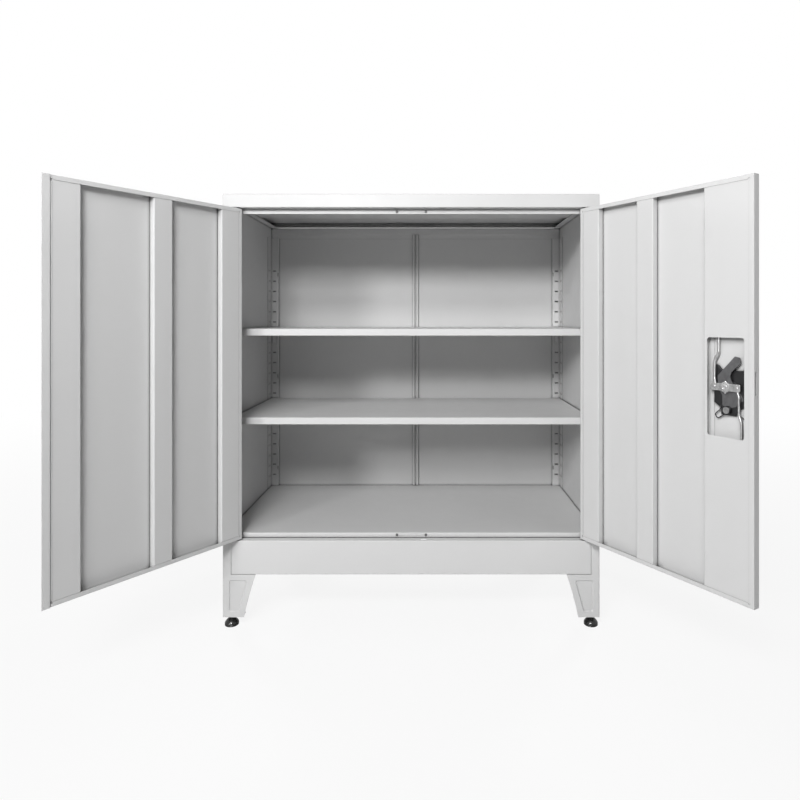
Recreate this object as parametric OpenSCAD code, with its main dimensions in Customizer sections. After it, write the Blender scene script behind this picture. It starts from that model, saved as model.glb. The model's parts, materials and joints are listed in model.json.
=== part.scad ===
// Two-door steel tool cabinet on four short legs, with two shelves and a three-point rod lock.
// X = 0 is the cabinet's middle plane, Z = 0 the floor, and the doors open towards -Y.
// The doors are drawn open, as they stand in use. Lengths are in millimetres.

/* [Cabinet body] */
// Width across the side panels
body_w = 900; // [780:10:1100]
// Depth from the front plane to the back
body_d = 450; // [400:10:600]
// Thickness of the body's sheet
sheet = 1; // [0.8:0.1:1.4]
// Outer radius of every fold in the sheet
fold_r = 2; // [1.8:0.1:3]
// Width of the folded post at each front corner
post_w = 20; // [18:1:26]
// Depth of the posts and of the ledges above and below the doors
post_d = 20; // [19.5:0.5:26]
// Height of the top panel's front flange
brow_h = 32.5; // [28:0.5:45]
// Height of the top panel's side and back flanges
cap_h = 15; // [12:1:20]
// How far the stop lip hangs down behind the doors
stop_lip_h = 12; // [8:1:14]
// Rise of the floor above the ledge below the doors
sill_h = 12; // [8:1:16]
// Width of the flanges at the back corners
back_flange_w = 14; // [10:1:18]

/* [Back wall] */
// Width of the rib that covers the joint of the two back panels
rib_w = 17.5; // [14:0.5:24]
// How far the rib stands out from the back panels
rib_d = 6; // [4:0.5:8]
// Height of the rail along the top of the back wall
back_rail_h = 20; // [16:1:30]

/* [Shelves] */
// Distance of the shelves behind the front plane
shelf_setback = 60; // [56:1:80]
// Height of the folded edge of a shelf
shelf_lip_h = 17.5; // [14:0.5:25]
// Slots at which the upper and lower shelf hang, counted from the lowest
shelf_slots = [14, 7];
// Distance from one slot to the next
slot_pitch = 31.5; // [28:0.5:32]
// Number of slots in an upright
slot_count = 21; // [16:1:21]
// Height of the lowest slot above the cabinet floor
first_slot_rise = 35.5; // [30:0.5:60]
// Width of a slot
slot_w = 10; // [8:0.5:12]
// Height of a slot
slot_h = 4.4; // [4:0.1:6]
// Width of an upright's slotted face
upright_w = 24; // [20:1:28]
// Thickness of the uprights
upright_t = 1.2; // [1:0.1:1.6]
// Hollow behind a slotted face, where the clips hook in
upright_gap = 8; // [6:0.5:12]

/* [Base and feet] */
// Height of a leg's bottom edge above the floor
foot_rise = 25.5; // [25:0.5:30]
// Height of the sloped part of a leg
leg_h = 102; // [90:1:140]
// Width of a leg at its top
leg_top_w = 79; // [70:1:95]
// Width of a leg at its bottom
leg_bottom_w = 51; // [48:1:60]
// Thickness of a leg's sheet
leg_t = 1.5; // [1.2:0.1:2]
// Height of the plinth between the legs
plinth_h = 81; // [60:1:110]
// Depth of the panel pressed into each face of a leg
emboss_d = 2.2; // [1:0.1:3]
// Diameter of a foot's pad
pad_dia = 33; // [28:1:36]
// Diameter of a foot's stud
stud_dia = 8; // [6:1:10]
// Distance of a foot's axis from the outer faces of its leg
foot_inset = 17; // [16.8:0.1:20]

/* [Doors] */
// Height of a door
door_h = 790; // [720:10:900]
// Thickness of a door over its folded edges
door_t = 18; // [17.5:0.1:19]
// Thickness of a door's sheet
door_sheet = 0.8; // [0.6:0.1:0.9]
// Gap between a door and what surrounds it
door_gap = 2.5; // [2.4:0.1:3.5]
// Width of the folded lip round a door's inner face
door_lip_w = 9; // [7:0.5:12]
// Width of the stile at the hinge side
hinge_stile_w = 57; // [45:1:70]
// Distance from the hinge end to the left door's middle stiffener
left_stiffener_at = 182; // [150:1:200]
// Distance from the hinge end to the right door's middle stiffener
right_stiffener_at = 165; // [150:1:190]
// Width of a door's middle stiffener
stiffener_w = 42.5; // [30:0.5:60]
// Width of the stile at the left door's free side
free_stile_w = 54; // [45:1:80]
// Width of the stile that covers the lock
lock_stile_w = 100; // [90:1:105]
// Distance from a door's hinge end to its pivot pins
pivot_in = 8; // [7:0.5:9]
// Distance from a door's outer face to its pivot pins
pivot_back = 5; // [5:0.1:5.4]
// Diameter of the pivot pins
pin_dia = 6; // [5:0.5:6]
// Angle at which the left door stands open
left_open = 124.6; // [0:0.1:126]
// Angle at which the right door stands open
right_open = 121.9; // [0:0.1:126]
// Width of the strip on the left door's free edge that the right door closes against
strip_w = 15.5; // [12:0.5:18]

/* [Lock] */
// Distance from the door's free end to the spindle
lock_inset = 58.5; // [56:0.5:59]
// Height of the spindle above the door's middle
lock_rise = 2; // [-20:1:20]
// Width of the opening in the lock stile
window_w = 74.5; // [70:0.5:76]
// Height of the opening in the lock stile
window_h = 188; // [180:1:200]
// Radius at which the rods hang on the cam bar
cam_r = 22.5; // [21.5:0.5:23]
// Diameter of the rods
rod_dia = 5; // [4:0.5:5]
// Diameter of the handle's spindle
spindle_dia = 8; // [6:0.5:9]
// Distance of the key cylinder below the spindle
cylinder_drop = 43.5; // [42:0.5:46]
// Diameter of the key plug
plug_dia = 11; // [9:0.5:12]
// Length of the handle's lever from the spindle to its tip
lever_l = 96; // [80:1:110]

/* [Hidden] */

// Clearances
run_fit = 0.05;      // radial play of a turning pin or stud
seat_gap = 0.3;      // space between pieces that rest against each other but move apart
weld_gap = 0.2;      // space between the ends of neighbouring sheet parts
shelf_side_gap = 1;  // space beside a shelf

// Colours
PAINT = [0.86, 0.87, 0.87];
ZINC = [0.72, 0.73, 0.74];
DARK_ZINC = [0.45, 0.46, 0.47];
BLACK = [0.08, 0.08, 0.09];
RUBBER = [0.12, 0.12, 0.12];
NYLON = [0.93, 0.93, 0.9];

// Heights above the floor
plinth_z = foot_rise + leg_h;
ledge_z = plinth_z + plinth_h;
floor_z = ledge_z + sill_h;
door_z = ledge_z + door_gap;
brow_z = door_z + door_h + door_gap;
top_z = brow_z + brow_h;
cap_z = top_z - cap_h;
stop_z = brow_z - stop_lip_h;
back_rail_z = cap_z - sheet - back_rail_h;

// Plan of the body, with the front plane at y = 0 before the whole is centred
half_w = body_w / 2;
half_sheet = sheet / 2;
inner_half_w = half_w - sheet;
back_face_y = body_d - 2 * sheet;
clip_t = 1.5;
rear_face_y = back_face_y - upright_gap - upright_t;
front_face_y = shelf_setback - clip_t - seat_gap;
upright_leg = 35;
shelf_back_y = rear_face_y - clip_t - seat_gap;

// Doors
door_w = (body_w - 2 * post_w - 3 * door_gap) / 2;
pivot_x = half_w - post_w - door_gap - pivot_in;
stile_v = door_t - 1.5 * door_sheet;       // middle of the sheet of a stile's face
strip_t = 1.2;                             // thickness of the strip on the left door's edge
strip_v = door_t + seat_gap + strip_t;     // inner face of that strip
front_y = (max(reach(door_w, door_t, right_open), reach(door_w + strip_w, strip_v, left_open)) - body_d) / 2;

// How far a door point, u from the hinge end and v from the outer face, stands out from the front plane.
function reach(u, v, angle) = (u - pivot_in) * sin(angle) + (v - pivot_back) * abs(cos(angle)) - pivot_back;

// Lock, measured from the spindle's axis on the door's outer face
hub_u = door_w - lock_inset;
hub_z = door_h / 2 + lock_rise;
housing_v = 5.6;                            // inner face of the lock's housing
base_plate_v = housing_v + 1;               // inner face of the plate on the housing
rod_v = base_plate_v + seat_gap + rod_dia / 2;
bearing_v = 9.9;                            // end of the spindle's bearing
tongue_v = 10.2;                            // outer face of the latch tongue
tongue_t = 2;
cam_v = tongue_v + tongue_t;                // outer face of the cam bar
cam_t = 2;
rod_end_v = cam_v + cam_t + 1.2;
escutcheon_t = 6;
rod_slot_w = 14;
lock_scale = cam_r / 22.5;                  // the lock's outlines are drawn for this radius of the rods
upper_rod_dx = -15.5;                       // offset of the upper rod's long run from the spindle
lower_rod_dx = 30;                          // offset of the lower rod's long run from the spindle
unlock_angle = 66;
barrel_r = plug_dia / 2 + 2;
cylinder_dx = 1.5;
pad_h = 20;

// ---------- folded sheet ----------

function unit(v) = v / norm(v);
function reversed(list) = [for (i = [len(list) - 1:-1:0]) list[i]];
function short_turn(a) = a > 180 ? a - 360 : (a < -180 ? a + 360 : a);

// Points of the arc of radius r that rounds the corner b between a and c.
function corner_arc(a, b, c, r, n) =
  let (u = unit(a - b))
  let (w = unit(c - b))
  let (half = acos(max(-1, min(1, u * w))) / 2)
  let (centre = b + unit(u + w) * r / sin(half))
  let (from = b + u * r / tan(half) - centre)
  let (to = b + w * r / tan(half) - centre)
  let (start = atan2(from.y, from.x))
  let (turn = short_turn(atan2(to.y, to.x) - start))
  [for (i = [0:n]) centre + r * [cos(start + turn * i / n), sin(start + turn * i / n)]];

// An open path with its inner corners rounded.
function rounded_path(path, r, n) = [
  path[0],
  for (i = [1:len(path) - 2]) each corner_arc(path[i - 1], path[i], path[i + 1], r, n),
  path[len(path) - 1]
];

// A closed outline with every corner rounded.
function rounded_outline(points, r, n) =
  let (k = len(points))
  [for (i = [0:k - 1]) each corner_arc(points[(i + k - 1) % k], points[i], points[(i + 1) % k], r, n)];

function left_normal(a, b) = let (t = unit(b - a)) [-t.y, t.x];

// The path moved sideways by d, with mitred corners.
function side_path(p, d) =
  let (last = len(p) - 1)
  [for (i = [0:last])
    let (n1 = left_normal(p[max(i - 1, 0)], p[max(i, 1)]))
    let (n2 = left_normal(p[min(i, last - 1)], p[min(i + 1, last)]))
    p[i] + d * (n1 + n2) / (1 + n1 * n2)];

// Outline of a sheet of thickness t folded along its middle path.
function sheet_outline(path, t, outer_r, n = 4) =
  let (p = rounded_path(path, outer_r - t / 2, n))
  concat(side_path(p, t / 2), reversed(side_path(p, -t / 2)));

// Section of a block whose top corners are rounded, and its bottom corners as well where low_r is not 0.
function arch_section(w, h, r, low_r = 0) = concat(
  low_r > 0 ? corner_arc([0, h], [0, 0], [w, 0], low_r, 4) : [[0, 0]],
  low_r > 0 ? corner_arc([0, 0], [w, 0], [w, h], low_r, 4) : [[w, 0]],
  corner_arc([w, 0], [w, h], [0, h], r, 4),
  corner_arc([w, h], [0, h], [0, 0], r, 4)
);

// Extrudes a (y, z) outline along X.
module along_x(from, length) {
  translate([from, 0, 0])
    rotate([90, 0, 90])
      linear_extrude(length)
        children();
}

// Extrudes an (x, z) outline along Y.
module along_y(from, length) {
  translate([0, from + length, 0])
    rotate([90, 0, 0])
      linear_extrude(length)
        children();
}

// Block w x d x h with rounded edges round its top face, and round its bottom face where low_r is not 0.
module arch_block(w, d, h, r, low_r) {
  intersection() {
    along_x(0, w) polygon(arch_section(d, h, r, low_r));
    along_y(0, d) polygon(arch_section(w, h, r, low_r));
  }
}

// Tray folded from one sheet, face up. Its walls end in lips that point inwards: [left, right, front, back].
// The folds between walls and lips are rounded too where round_lips is true.
module folded_tray(w, d, h, t, r, lips, round_lips = false) {
  difference() {
    arch_block(w, d, h, r, round_lips ? r : 0);
    translate([t, t, t])
      arch_block(w - 2 * t, d - 2 * t, h - 2 * t, r - t, round_lips ? r - t : 0);
    translate([lips[0], lips[2], -t])
      cube([w - lips[0] - lips[1], d - lips[2] - lips[3], 3 * t]);
  }
}

// Draws its children in the centred cabinet, from coordinates whose y = 0 is the front plane.
module in_body() {
  translate([0, front_y, 0])
    children();
}

// Draws its children as they are at side 1 and mirrored at side -1.
module at_side(side) {
  mirror([side < 0 ? 1 : 0, 0, 0])
    children();
}

// ---------- cabinet body ----------

module side_panel(side) {
  wall_path = [
    [half_w - 0.4 * post_w, post_d - half_sheet],
    [half_w - post_w + half_sheet, post_d - half_sheet],
    [half_w - post_w + half_sheet, half_sheet],
    [half_w - half_sheet, half_sheet],
    [half_w - half_sheet, body_d - half_sheet],
    [half_w - back_flange_w, body_d - half_sheet]
  ];
  color(PAINT)
    in_body()
      at_side(side) {
        difference() {
          translate([0, 0, ledge_z])
            linear_extrude(cap_z - ledge_z)
              polygon(sheet_outline(wall_path, sheet, fold_r));
          translate([half_w - post_w - sheet, -sheet, brow_z])
            cube([post_w + 2 * sheet, post_d + sheet, cap_z]);
        }
        for (z = [ledge_z, cap_z - sheet])
          translate([half_w - post_w, post_d + sheet, z])
            cube([post_w - half_sheet, body_d - post_d - 2 * sheet - half_sheet, sheet]);
      }
}

module left_side_panel() side_panel(-1);
module right_side_panel() side_panel(1);

module top_panel() {
  pin_hole_h = 4 * sheet;
  brow_path = [
    [half_sheet, cap_z + sheet],
    [half_sheet, brow_z + half_sheet],
    [post_d, brow_z + half_sheet]
  ];
  color(PAINT)
    in_body()
      difference() {
        union() {
          translate([-half_w, 0, cap_z])
            folded_tray(body_w, body_d, cap_h, sheet, fold_r, [post_w, post_w, sheet, post_w]);
          along_x(-half_w, body_w) polygon(sheet_outline(brow_path, sheet, fold_r));
          for (side = [-1, 1])
            at_side(side)
              translate([half_w - sheet, half_sheet, brow_z + half_sheet])
                cube([sheet, post_d - half_sheet, cap_z - brow_z]);
        }
        for (side = [-1, 1])
          translate([side * pivot_x, pivot_back, brow_z - sheet])
            cylinder(h = pin_hole_h, d = pin_dia + 2 * run_fit, $fn = 48);
        rod_slot(upper_rod_dx, brow_z - sheet, pin_hole_h);
      }
}

// Slot through a ledge for a rod of the closed right door.
module rod_slot(dx, z, h) {
  slot_x = pivot_x + pivot_in - hub_u - dx;
  slot_y = rod_v;
  translate([slot_x - rod_slot_w / 2, slot_y - rod_dia / 2 - 1, z])
    cube([rod_slot_w, rod_dia + 2, h]);
}

module top_stop_rail() {
  rail_path = [
    [post_d + half_sheet, stop_z],
    [post_d + half_sheet, cap_z - half_sheet],
    [3 * post_d, cap_z - half_sheet]
  ];
  color(PAINT)
    in_body()
      difference() {
        along_x(weld_gap + post_w - half_w, body_w - 2 * post_w - 2 * weld_gap)
          polygon(sheet_outline(rail_path, sheet, fold_r));
        buffer_holes(stop_z + buffer_rise);
      }
}

// Hat sections that stiffen the top from below and the floor from below.
module panel_stiffeners() {
  hat_w = 60;
  foot_w = 14;
  mid_y = body_d / 2;
  hat_l = body_w - 2 * post_w - 2 * sheet - 2 * weld_gap;
  module hat(height) {
    hat_path = [
      [mid_y - hat_w / 2 - foot_w, -half_sheet],
      [mid_y - hat_w / 2, -half_sheet],
      [mid_y - hat_w / 2, -height + half_sheet],
      [mid_y + hat_w / 2, -height + half_sheet],
      [mid_y + hat_w / 2, -half_sheet],
      [mid_y + hat_w / 2 + foot_w, -half_sheet]
    ];
    along_x(-hat_l / 2, hat_l) polygon(sheet_outline(hat_path, sheet, fold_r));
  }
  color(PAINT)
    in_body() {
      translate([0, 0, top_z - sheet])
        hat(cap_h - sheet);
      translate([0, 0, floor_z - sheet])
        hat(sill_h + 2 * post_d - sheet);
    }
}

module bottom_panel() {
  tray_z = ledge_z + sheet;
  color(PAINT)
    in_body()
      difference() {
        translate([-inner_half_w + weld_gap, post_d, tray_z])
          folded_tray(2 * (inner_half_w - weld_gap), back_face_y - post_d, floor_z - tray_z, sheet, fold_r,
            [post_w, post_w, back_flange_w, back_flange_w]);
        buffer_holes(floor_z - buffer_rise);
      }
}

module back_panel(side) {
  seam_gap = 0.5;
  edge_gap = fold_r - sheet + weld_gap;     // keeps clear of the fold at the side panel's back corner
  color(PAINT)
    in_body()
      at_side(side)
        translate([seam_gap, back_face_y, ledge_z + sheet])
          cube([inner_half_w - edge_gap - seam_gap, sheet, cap_z - ledge_z - 2 * sheet]);
}

module back_panel_left() back_panel(-1);
module back_panel_right() back_panel(1);

module back_centre_rib() {
  ridge_w = rib_w / 3;
  groove_d = rib_d * 0.6;
  half_rib = rib_w / 2;
  slope = 0.6;
  right_half = [
    [half_rib, 0], [half_rib - slope, -rib_d], [half_rib - ridge_w, -rib_d],
    [half_rib - ridge_w - slope, groove_d - rib_d]
  ];
  left_half = [for (p = reversed(right_half)) [-p.x, p.y]];
  color(PAINT)
    in_body()
      translate([0, back_face_y, floor_z])
        linear_extrude(back_rail_z - floor_z)
          polygon(concat(right_half, left_half));
}

module back_top_rail() {
  rail_t = 1.5;
  step_h = 13;
  rail_half_w = inner_half_w - weld_gap;
  section = [
    [back_face_y, back_rail_z - step_h],
    [back_face_y, cap_z - sheet],
    [back_face_y - rail_t, cap_z - sheet],
    [back_face_y - rail_t, back_rail_z],
    [back_face_y - rail_t / 2, back_rail_z - 1],
    [back_face_y - rail_t / 2, back_rail_z - step_h]
  ];
  color(PAINT)
    in_body()
      difference() {
        along_x(-rail_half_w, 2 * rail_half_w) polygon(section);
        translate([-rib_w / 2 - weld_gap, back_face_y - 2 * rail_t, back_rail_z - step_h - 1])
          cube([rib_w + 2 * weld_gap, 3 * rail_t, step_h + 1]);
      }
}

// ---------- slotted uprights, shelves and clips ----------

function slot_z(k) = floor_z + first_slot_rise + k * slot_pitch;

upright_top_z = back_rail_z - 13 - weld_gap;

// Rear right upright: a leg along the side wall, a slotted face to the front and a return to the back wall.
module upright_shape() {
  half_t = upright_t / 2;
  side_x = inner_half_w - half_t;
  path = [
    [side_x, rear_face_y - upright_leg],
    [side_x, rear_face_y + half_t],
    [side_x - upright_w + upright_t, rear_face_y + half_t],
    [side_x - upright_w + upright_t, back_face_y]
  ];
  slot_x = inner_half_w - upright_w / 2;
  side_slot_l = 20;
  notch_h = 11;
  notch_w = 3;
  difference() {
    translate([0, 0, floor_z])
      linear_extrude(upright_top_z - floor_z)
        polygon(sheet_outline(path, upright_t, 2 * upright_t));
    for (k = [0:slot_count - 1]) {
      translate([slot_x - slot_w / 2, rear_face_y - upright_t, slot_z(k) - slot_h / 2])
        cube([slot_w, 3 * upright_t, slot_h]);
      translate([side_x - upright_t, rear_face_y - upright_leg + 5, slot_z(k) - slot_h / 2])
        cube([2 * upright_t, side_slot_l, slot_h]);
    }
    for (k = [1, 10, slot_count - 1])
      translate([side_x - upright_w + half_t, rear_face_y - upright_t, slot_z(k - 1 / 3) - notch_h / 2])
        cube([notch_w, 3 * upright_t, notch_h]);
  }
}

// Draws its rear children at the back (end = 1) or mirrored at the front (end = -1) of the shelf space.
module at_end(end) {
  middle_y = (rear_face_y + front_face_y) / 2;
  translate([0, middle_y, 0])
    mirror([0, end < 0 ? 1 : 0, 0])
      translate([0, -middle_y, 0])
        children();
}

module upright(side, end) {
  color(PAINT)
    in_body()
      at_side(side)
        at_end(end)
          upright_shape();
}

module rear_upright_left() upright(-1, 1);
module rear_upright_right() upright(1, 1);
module front_upright_left() upright(-1, -1);
module front_upright_right() upright(1, -1);

clip_seat_drop = 1.5;
function shelf_seat_z(slot) = slot_z(slot) - clip_seat_drop;

module shelf(slot) {
  shelf_half_w = inner_half_w - upright_t - shelf_side_gap;
  lip = 12;
  color(PAINT)
    in_body()
      translate([-shelf_half_w, shelf_setback, shelf_seat_z(slot)])
        folded_tray(2 * shelf_half_w, shelf_back_y - shelf_setback, shelf_lip_h, sheet, fold_r,
          [lip, lip, lip, lip], true);
}

module upper_shelf() shelf(shelf_slots[0]);
module lower_shelf() shelf(shelf_slots[1]);

// Clip at the rear right: a back plate, a tongue under the shelf and two lugs that hook into the slots.
module clip_shape(slot) {
  clip_w = slot_w - 0.6;
  tongue_l = 13;
  lug_t = slot_h - 1.2;
  lug_l = upright_t + 2;
  clip_x = inner_half_w - upright_w / 2;
  seat_z = shelf_seat_z(slot);
  low_z = slot_z(slot) - slot_pitch - slot_h;
  section = [
    [rear_face_y, low_z],
    [rear_face_y, seat_z + slot_h],
    [rear_face_y - clip_t, seat_z + slot_h],
    [rear_face_y - clip_t, seat_z],
    [rear_face_y - clip_t - tongue_l, seat_z],
    [rear_face_y - clip_t - tongue_l, seat_z - clip_t],
    [rear_face_y - 2 * clip_t, seat_z - clip_t],
    [rear_face_y - clip_t, seat_z - 2 * clip_t],
    [rear_face_y - clip_t, low_z]
  ];
  along_x(clip_x - clip_w / 2, clip_w) polygon(section);
  for (k = [slot - 1, slot])
    translate([clip_x - clip_w / 2, rear_face_y - clip_t / 2, slot_z(k) - lug_t / 2])
      cube([clip_w, lug_l + clip_t / 2, lug_t]);
}

module shelf_clips() {
  color(ZINC)
    in_body()
      for (slot = shelf_slots, side = [-1, 1], end = [-1, 1])
        at_side(side)
          at_end(end)
            clip_shape(slot);
}

// ---------- base ----------

plinth_half_w = half_w - post_w - 0.8;
bolt_row = 9;           // distance of the base bolts from the outer face of their rail
bolt_at = 62;           // distance of the base bolts from the cabinet's corner
base_bolt_dia = 6;

// Folded rail with its ledge on top and a bolted flange below, drawn as a (y, z) section from y = 0.
function plinth_path(ledge_d) = [
  [ledge_d, ledge_z - half_sheet],
  [half_sheet, ledge_z - half_sheet],
  [half_sheet, plinth_z + half_sheet],
  [16, plinth_z + half_sheet]
];

module front_plinth() {
  color(PAINT)
    in_body()
      difference() {
        along_x(-plinth_half_w, 2 * plinth_half_w)
          polygon(sheet_outline(plinth_path(1.7 * post_d), sheet, fold_r));
        for (side = [-1, 1]) {
          translate([side * pivot_x, pivot_back, ledge_z - 4 * sheet])
            cylinder(h = 5 * sheet, d = pin_dia + 2 * run_fit, $fn = 48);
          base_bolt_hole(side * (half_w - bolt_at), bolt_row);
        }
        rod_slot(lower_rod_dx, ledge_z - 4 * sheet, 5 * sheet);
      }
}

module base_bolt_hole(x, y) {
  translate([x, y, plinth_z - 3 * sheet])
    cylinder(h = 6 * sheet, d = base_bolt_dia + 2 * run_fit, $fn = 32);
}

module rear_plinth() {
  color(PAINT)
    in_body()
      translate([0, body_d, 0])
        mirror([0, 1, 0])
          difference() {
            along_x(-plinth_half_w, 2 * plinth_half_w)
              polygon(sheet_outline(plinth_path(1.7 * post_d), sheet, fold_r));
            for (side = [-1, 1])
              base_bolt_hole(side * (half_w - bolt_at), bolt_row);
          }
}

module side_plinth(side) {
  ends_y = post_w + 0.8;
  color(PAINT)
    in_body()
      at_side(side)
        difference() {
          translate([half_w, 0, 0])
            mirror([1, 0, 0])
              along_y(ends_y, body_d - 2 * ends_y)
                polygon(sheet_outline(plinth_path(post_w - 2), sheet, fold_r));
          for (y = [bolt_at, body_d - bolt_at])
            base_bolt_hole(half_w - bolt_row, y);
        }
}

module side_plinth_left() side_plinth(-1);
module side_plinth_right() side_plinth(1);

// Distance of a leg's sloped edge from its outer side at height t, from 0 at the bottom to 1 at the top.
// It is a quadratic curve that bulges inwards.
function leg_edge(t) =
  let (waist = (leg_top_w + leg_bottom_w) / 2 - 3.8)
  leg_bottom_w * (1 - t) * (1 - t) + 2 * waist * t * (1 - t) + leg_top_w * t * t;

// Everything beside a leg's face, to be cut away: (distance from the outer side, height).
leg_cut_outline = concat(
  [[leg_top_w + 5, foot_rise - 1], [leg_bottom_w, foot_rise - 1]],
  [for (i = [0:10]) [leg_edge(i / 10), foot_rise + leg_h * i / 10]],
  [[post_w, plinth_z], [post_w, ledge_z + 1], [leg_top_w + 5, ledge_z + 1]]
);

// Outline of the pressed panel, drawn smaller by inset.
function emboss_outline(inset) =
  let (margin = 15 + inset)
  let (low_z = foot_rise + 13 + inset)
  let (high_z = plinth_z - 14 - inset)
  let (low_s = leg_edge((low_z - foot_rise) / leg_h) - margin)
  let (high_s = leg_edge((high_z - foot_rise) / leg_h) - margin)
  rounded_outline([[margin, low_z], [low_s, low_z], [high_s, high_z], [margin, high_z]], 4, 3);

// Tapered pressing from an outline at y0 to a smaller one at y1, in a leg's front face.
module pressing(y0, y1, inset0, inset1) {
  skin = 0.01;
  hull() {
    along_y(y0, skin) polygon(emboss_outline(inset0));
    along_y(y1, skin) polygon(emboss_outline(inset1));
  }
}

// One face of a leg with its pressed panel, seen from the front, with the outer side at x = 0.
module leg_face(corner_cut) {
  chamfer = 4;
  outline = [
    [0, foot_rise + chamfer], [chamfer / 2, foot_rise], [leg_top_w + 1, foot_rise],
    [leg_top_w + 1, ledge_z], [0, ledge_z]
  ];
  difference() {
    union() {
      along_y(0, leg_t) polygon(outline);
      pressing(leg_t - 0.3, leg_t + emboss_d, -leg_t, emboss_d - leg_t);
    }
    along_y(-1, leg_t + 2) polygon(leg_cut_outline);
    pressing(-0.01, emboss_d, 0, emboss_d);
    translate([-1, -1, 0])
      cube([1 + corner_cut, leg_t + 2, ledge_z + 1]);
  }
}

// Front right leg, with its outer corner at x = half_w, y = 0.
module leg_shape() {
  corner = 2 * fold_r;
  foot_plate_t = 2;
  nut_r = pad_dia / 4;
  nut_h = 7;
  plate_w = leg_bottom_w - 3;
  tab_w = 16;
  bend_path = [[half_w - leg_t / 2 - corner, leg_t / 2], [half_w - leg_t / 2, leg_t / 2],
    [half_w - leg_t / 2, leg_t / 2 + corner]];
  difference() {
    union() {
      translate([half_w, 0, 0]) mirror([1, 0, 0]) leg_face(corner);
      translate([half_w, 0, 0]) rotate([0, 0, 90]) leg_face(corner);
      translate([0, 0, foot_rise])
        linear_extrude(ledge_z - foot_rise)
          polygon(sheet_outline(bend_path, leg_t, corner * 0.75));
      translate([0, 0, foot_rise])
        linear_extrude(foot_plate_t)
          polygon([
            [half_w - plate_w, half_sheet], [half_w - corner, half_sheet], [half_w - half_sheet, corner],
            [half_w - half_sheet, plate_w], [half_w - plate_w / 2, plate_w], [half_w - plate_w, plate_w / 2]
          ]);
      translate([half_w - foot_inset, foot_inset, foot_rise + foot_plate_t / 2])
        cylinder(h = nut_h + foot_plate_t / 2, r = nut_r, $fn = 6);
      translate([0, 0, plinth_z - leg_t])
        linear_extrude(leg_t)
          polygon([
            [half_w - leg_top_w + 4, half_sheet], [half_w - corner, half_sheet],
            [half_w - half_sheet, corner], [half_w - half_sheet, leg_top_w - 4],
            [half_w - tab_w, leg_top_w - 4], [half_w - tab_w, tab_w], [half_w - leg_top_w + 4, tab_w]
          ]);
    }
    translate([half_w - foot_inset, foot_inset, foot_rise - 1])
      cylinder(h = nut_h + foot_plate_t + 2, d = stud_dia + 2 * run_fit, $fn = 48);
    base_bolt_hole(half_w - bolt_at, bolt_row);
    base_bolt_hole(half_w - bolt_row, bolt_at);
  }
}

// Draws front right children at any of the four corners.
module at_corner(side, end) {
  at_side(side)
    translate([0, end > 0 ? body_d : 0, 0])
      mirror([0, end > 0 ? 1 : 0, 0])
        children();
}

module leg(side, end) {
  color(PAINT)
    in_body()
      at_corner(side, end)
        leg_shape();
}

module leg_front_left() leg(-1, -1);
module leg_front_right() leg(1, -1);
module leg_rear_left() leg(-1, 1);
module leg_rear_right() leg(1, 1);

module base_bolts() {
  head_h = 4;
  head_dia = 10;
  nut_h = 5;
  module bolt() {
    translate([0, 0, plinth_z - leg_t - head_h])
      cylinder(h = head_h, d = head_dia, $fn = 6);
    translate([0, 0, plinth_z - leg_t - 0.5])
      cylinder(h = leg_t + sheet + nut_h + 3, d = base_bolt_dia, $fn = 32);
    translate([0, 0, plinth_z + sheet])
      cylinder(h = nut_h, d = head_dia, $fn = 6);
  }
  color(ZINC)
    in_body()
      for (side = [-1, 1], end = [-1, 1])
        at_corner(side, end) {
          translate([half_w - bolt_at, bolt_row, 0]) bolt();
          translate([half_w - bolt_row, bolt_at, 0]) bolt();
        }
}

// ---------- feet ----------

module foot_pad(side, end) {
  pad_r = pad_dia / 2;
  neck_r = stud_dia / 2 + 2.5;
  profile = [
    [0, 0], [pad_r - 1.5, 0], [pad_r, 1.5], [pad_r, 6], [pad_r - 0.8, 8.5], [pad_r - 2.6, 11.5],
    [pad_r - 5.4, 14.4], [neck_r + 0.6, 17.6], [neck_r, pad_h], [stud_dia / 2 + run_fit, pad_h],
    [stud_dia / 2 + run_fit, 6], [0, 6]
  ];
  color(RUBBER)
    in_body()
      at_corner(side, end)
        translate([half_w - foot_inset, foot_inset, 0])
          rotate_extrude($fn = 64)
            polygon(profile);
}

module foot_stud(side, end) {
  stud_top = foot_rise + 28;
  tip = 1;
  color(ZINC)
    in_body()
      at_corner(side, end)
        translate([half_w - foot_inset, foot_inset, 0])
          rotate_extrude($fn = 48)
            polygon([
              [0, 6], [stud_dia / 2, 6], [stud_dia / 2, stud_top - tip], [stud_dia / 2 - tip, stud_top],
              [0, stud_top]
            ]);
}

module foot_pad_front_left() foot_pad(-1, -1);
module foot_pad_front_right() foot_pad(1, -1);
module foot_pad_rear_left() foot_pad(-1, 1);
module foot_pad_rear_right() foot_pad(1, 1);
module foot_stud_front_left() foot_stud(-1, -1);
module foot_stud_front_right() foot_stud(1, -1);
module foot_stud_rear_left() foot_stud(-1, 1);
module foot_stud_rear_right() foot_stud(1, 1);

// ---------- hinge pins and buffers ----------

bush_l = 10;
top_bush_flange = 1;
bottom_bush_flange = door_gap - seat_gap;

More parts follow.
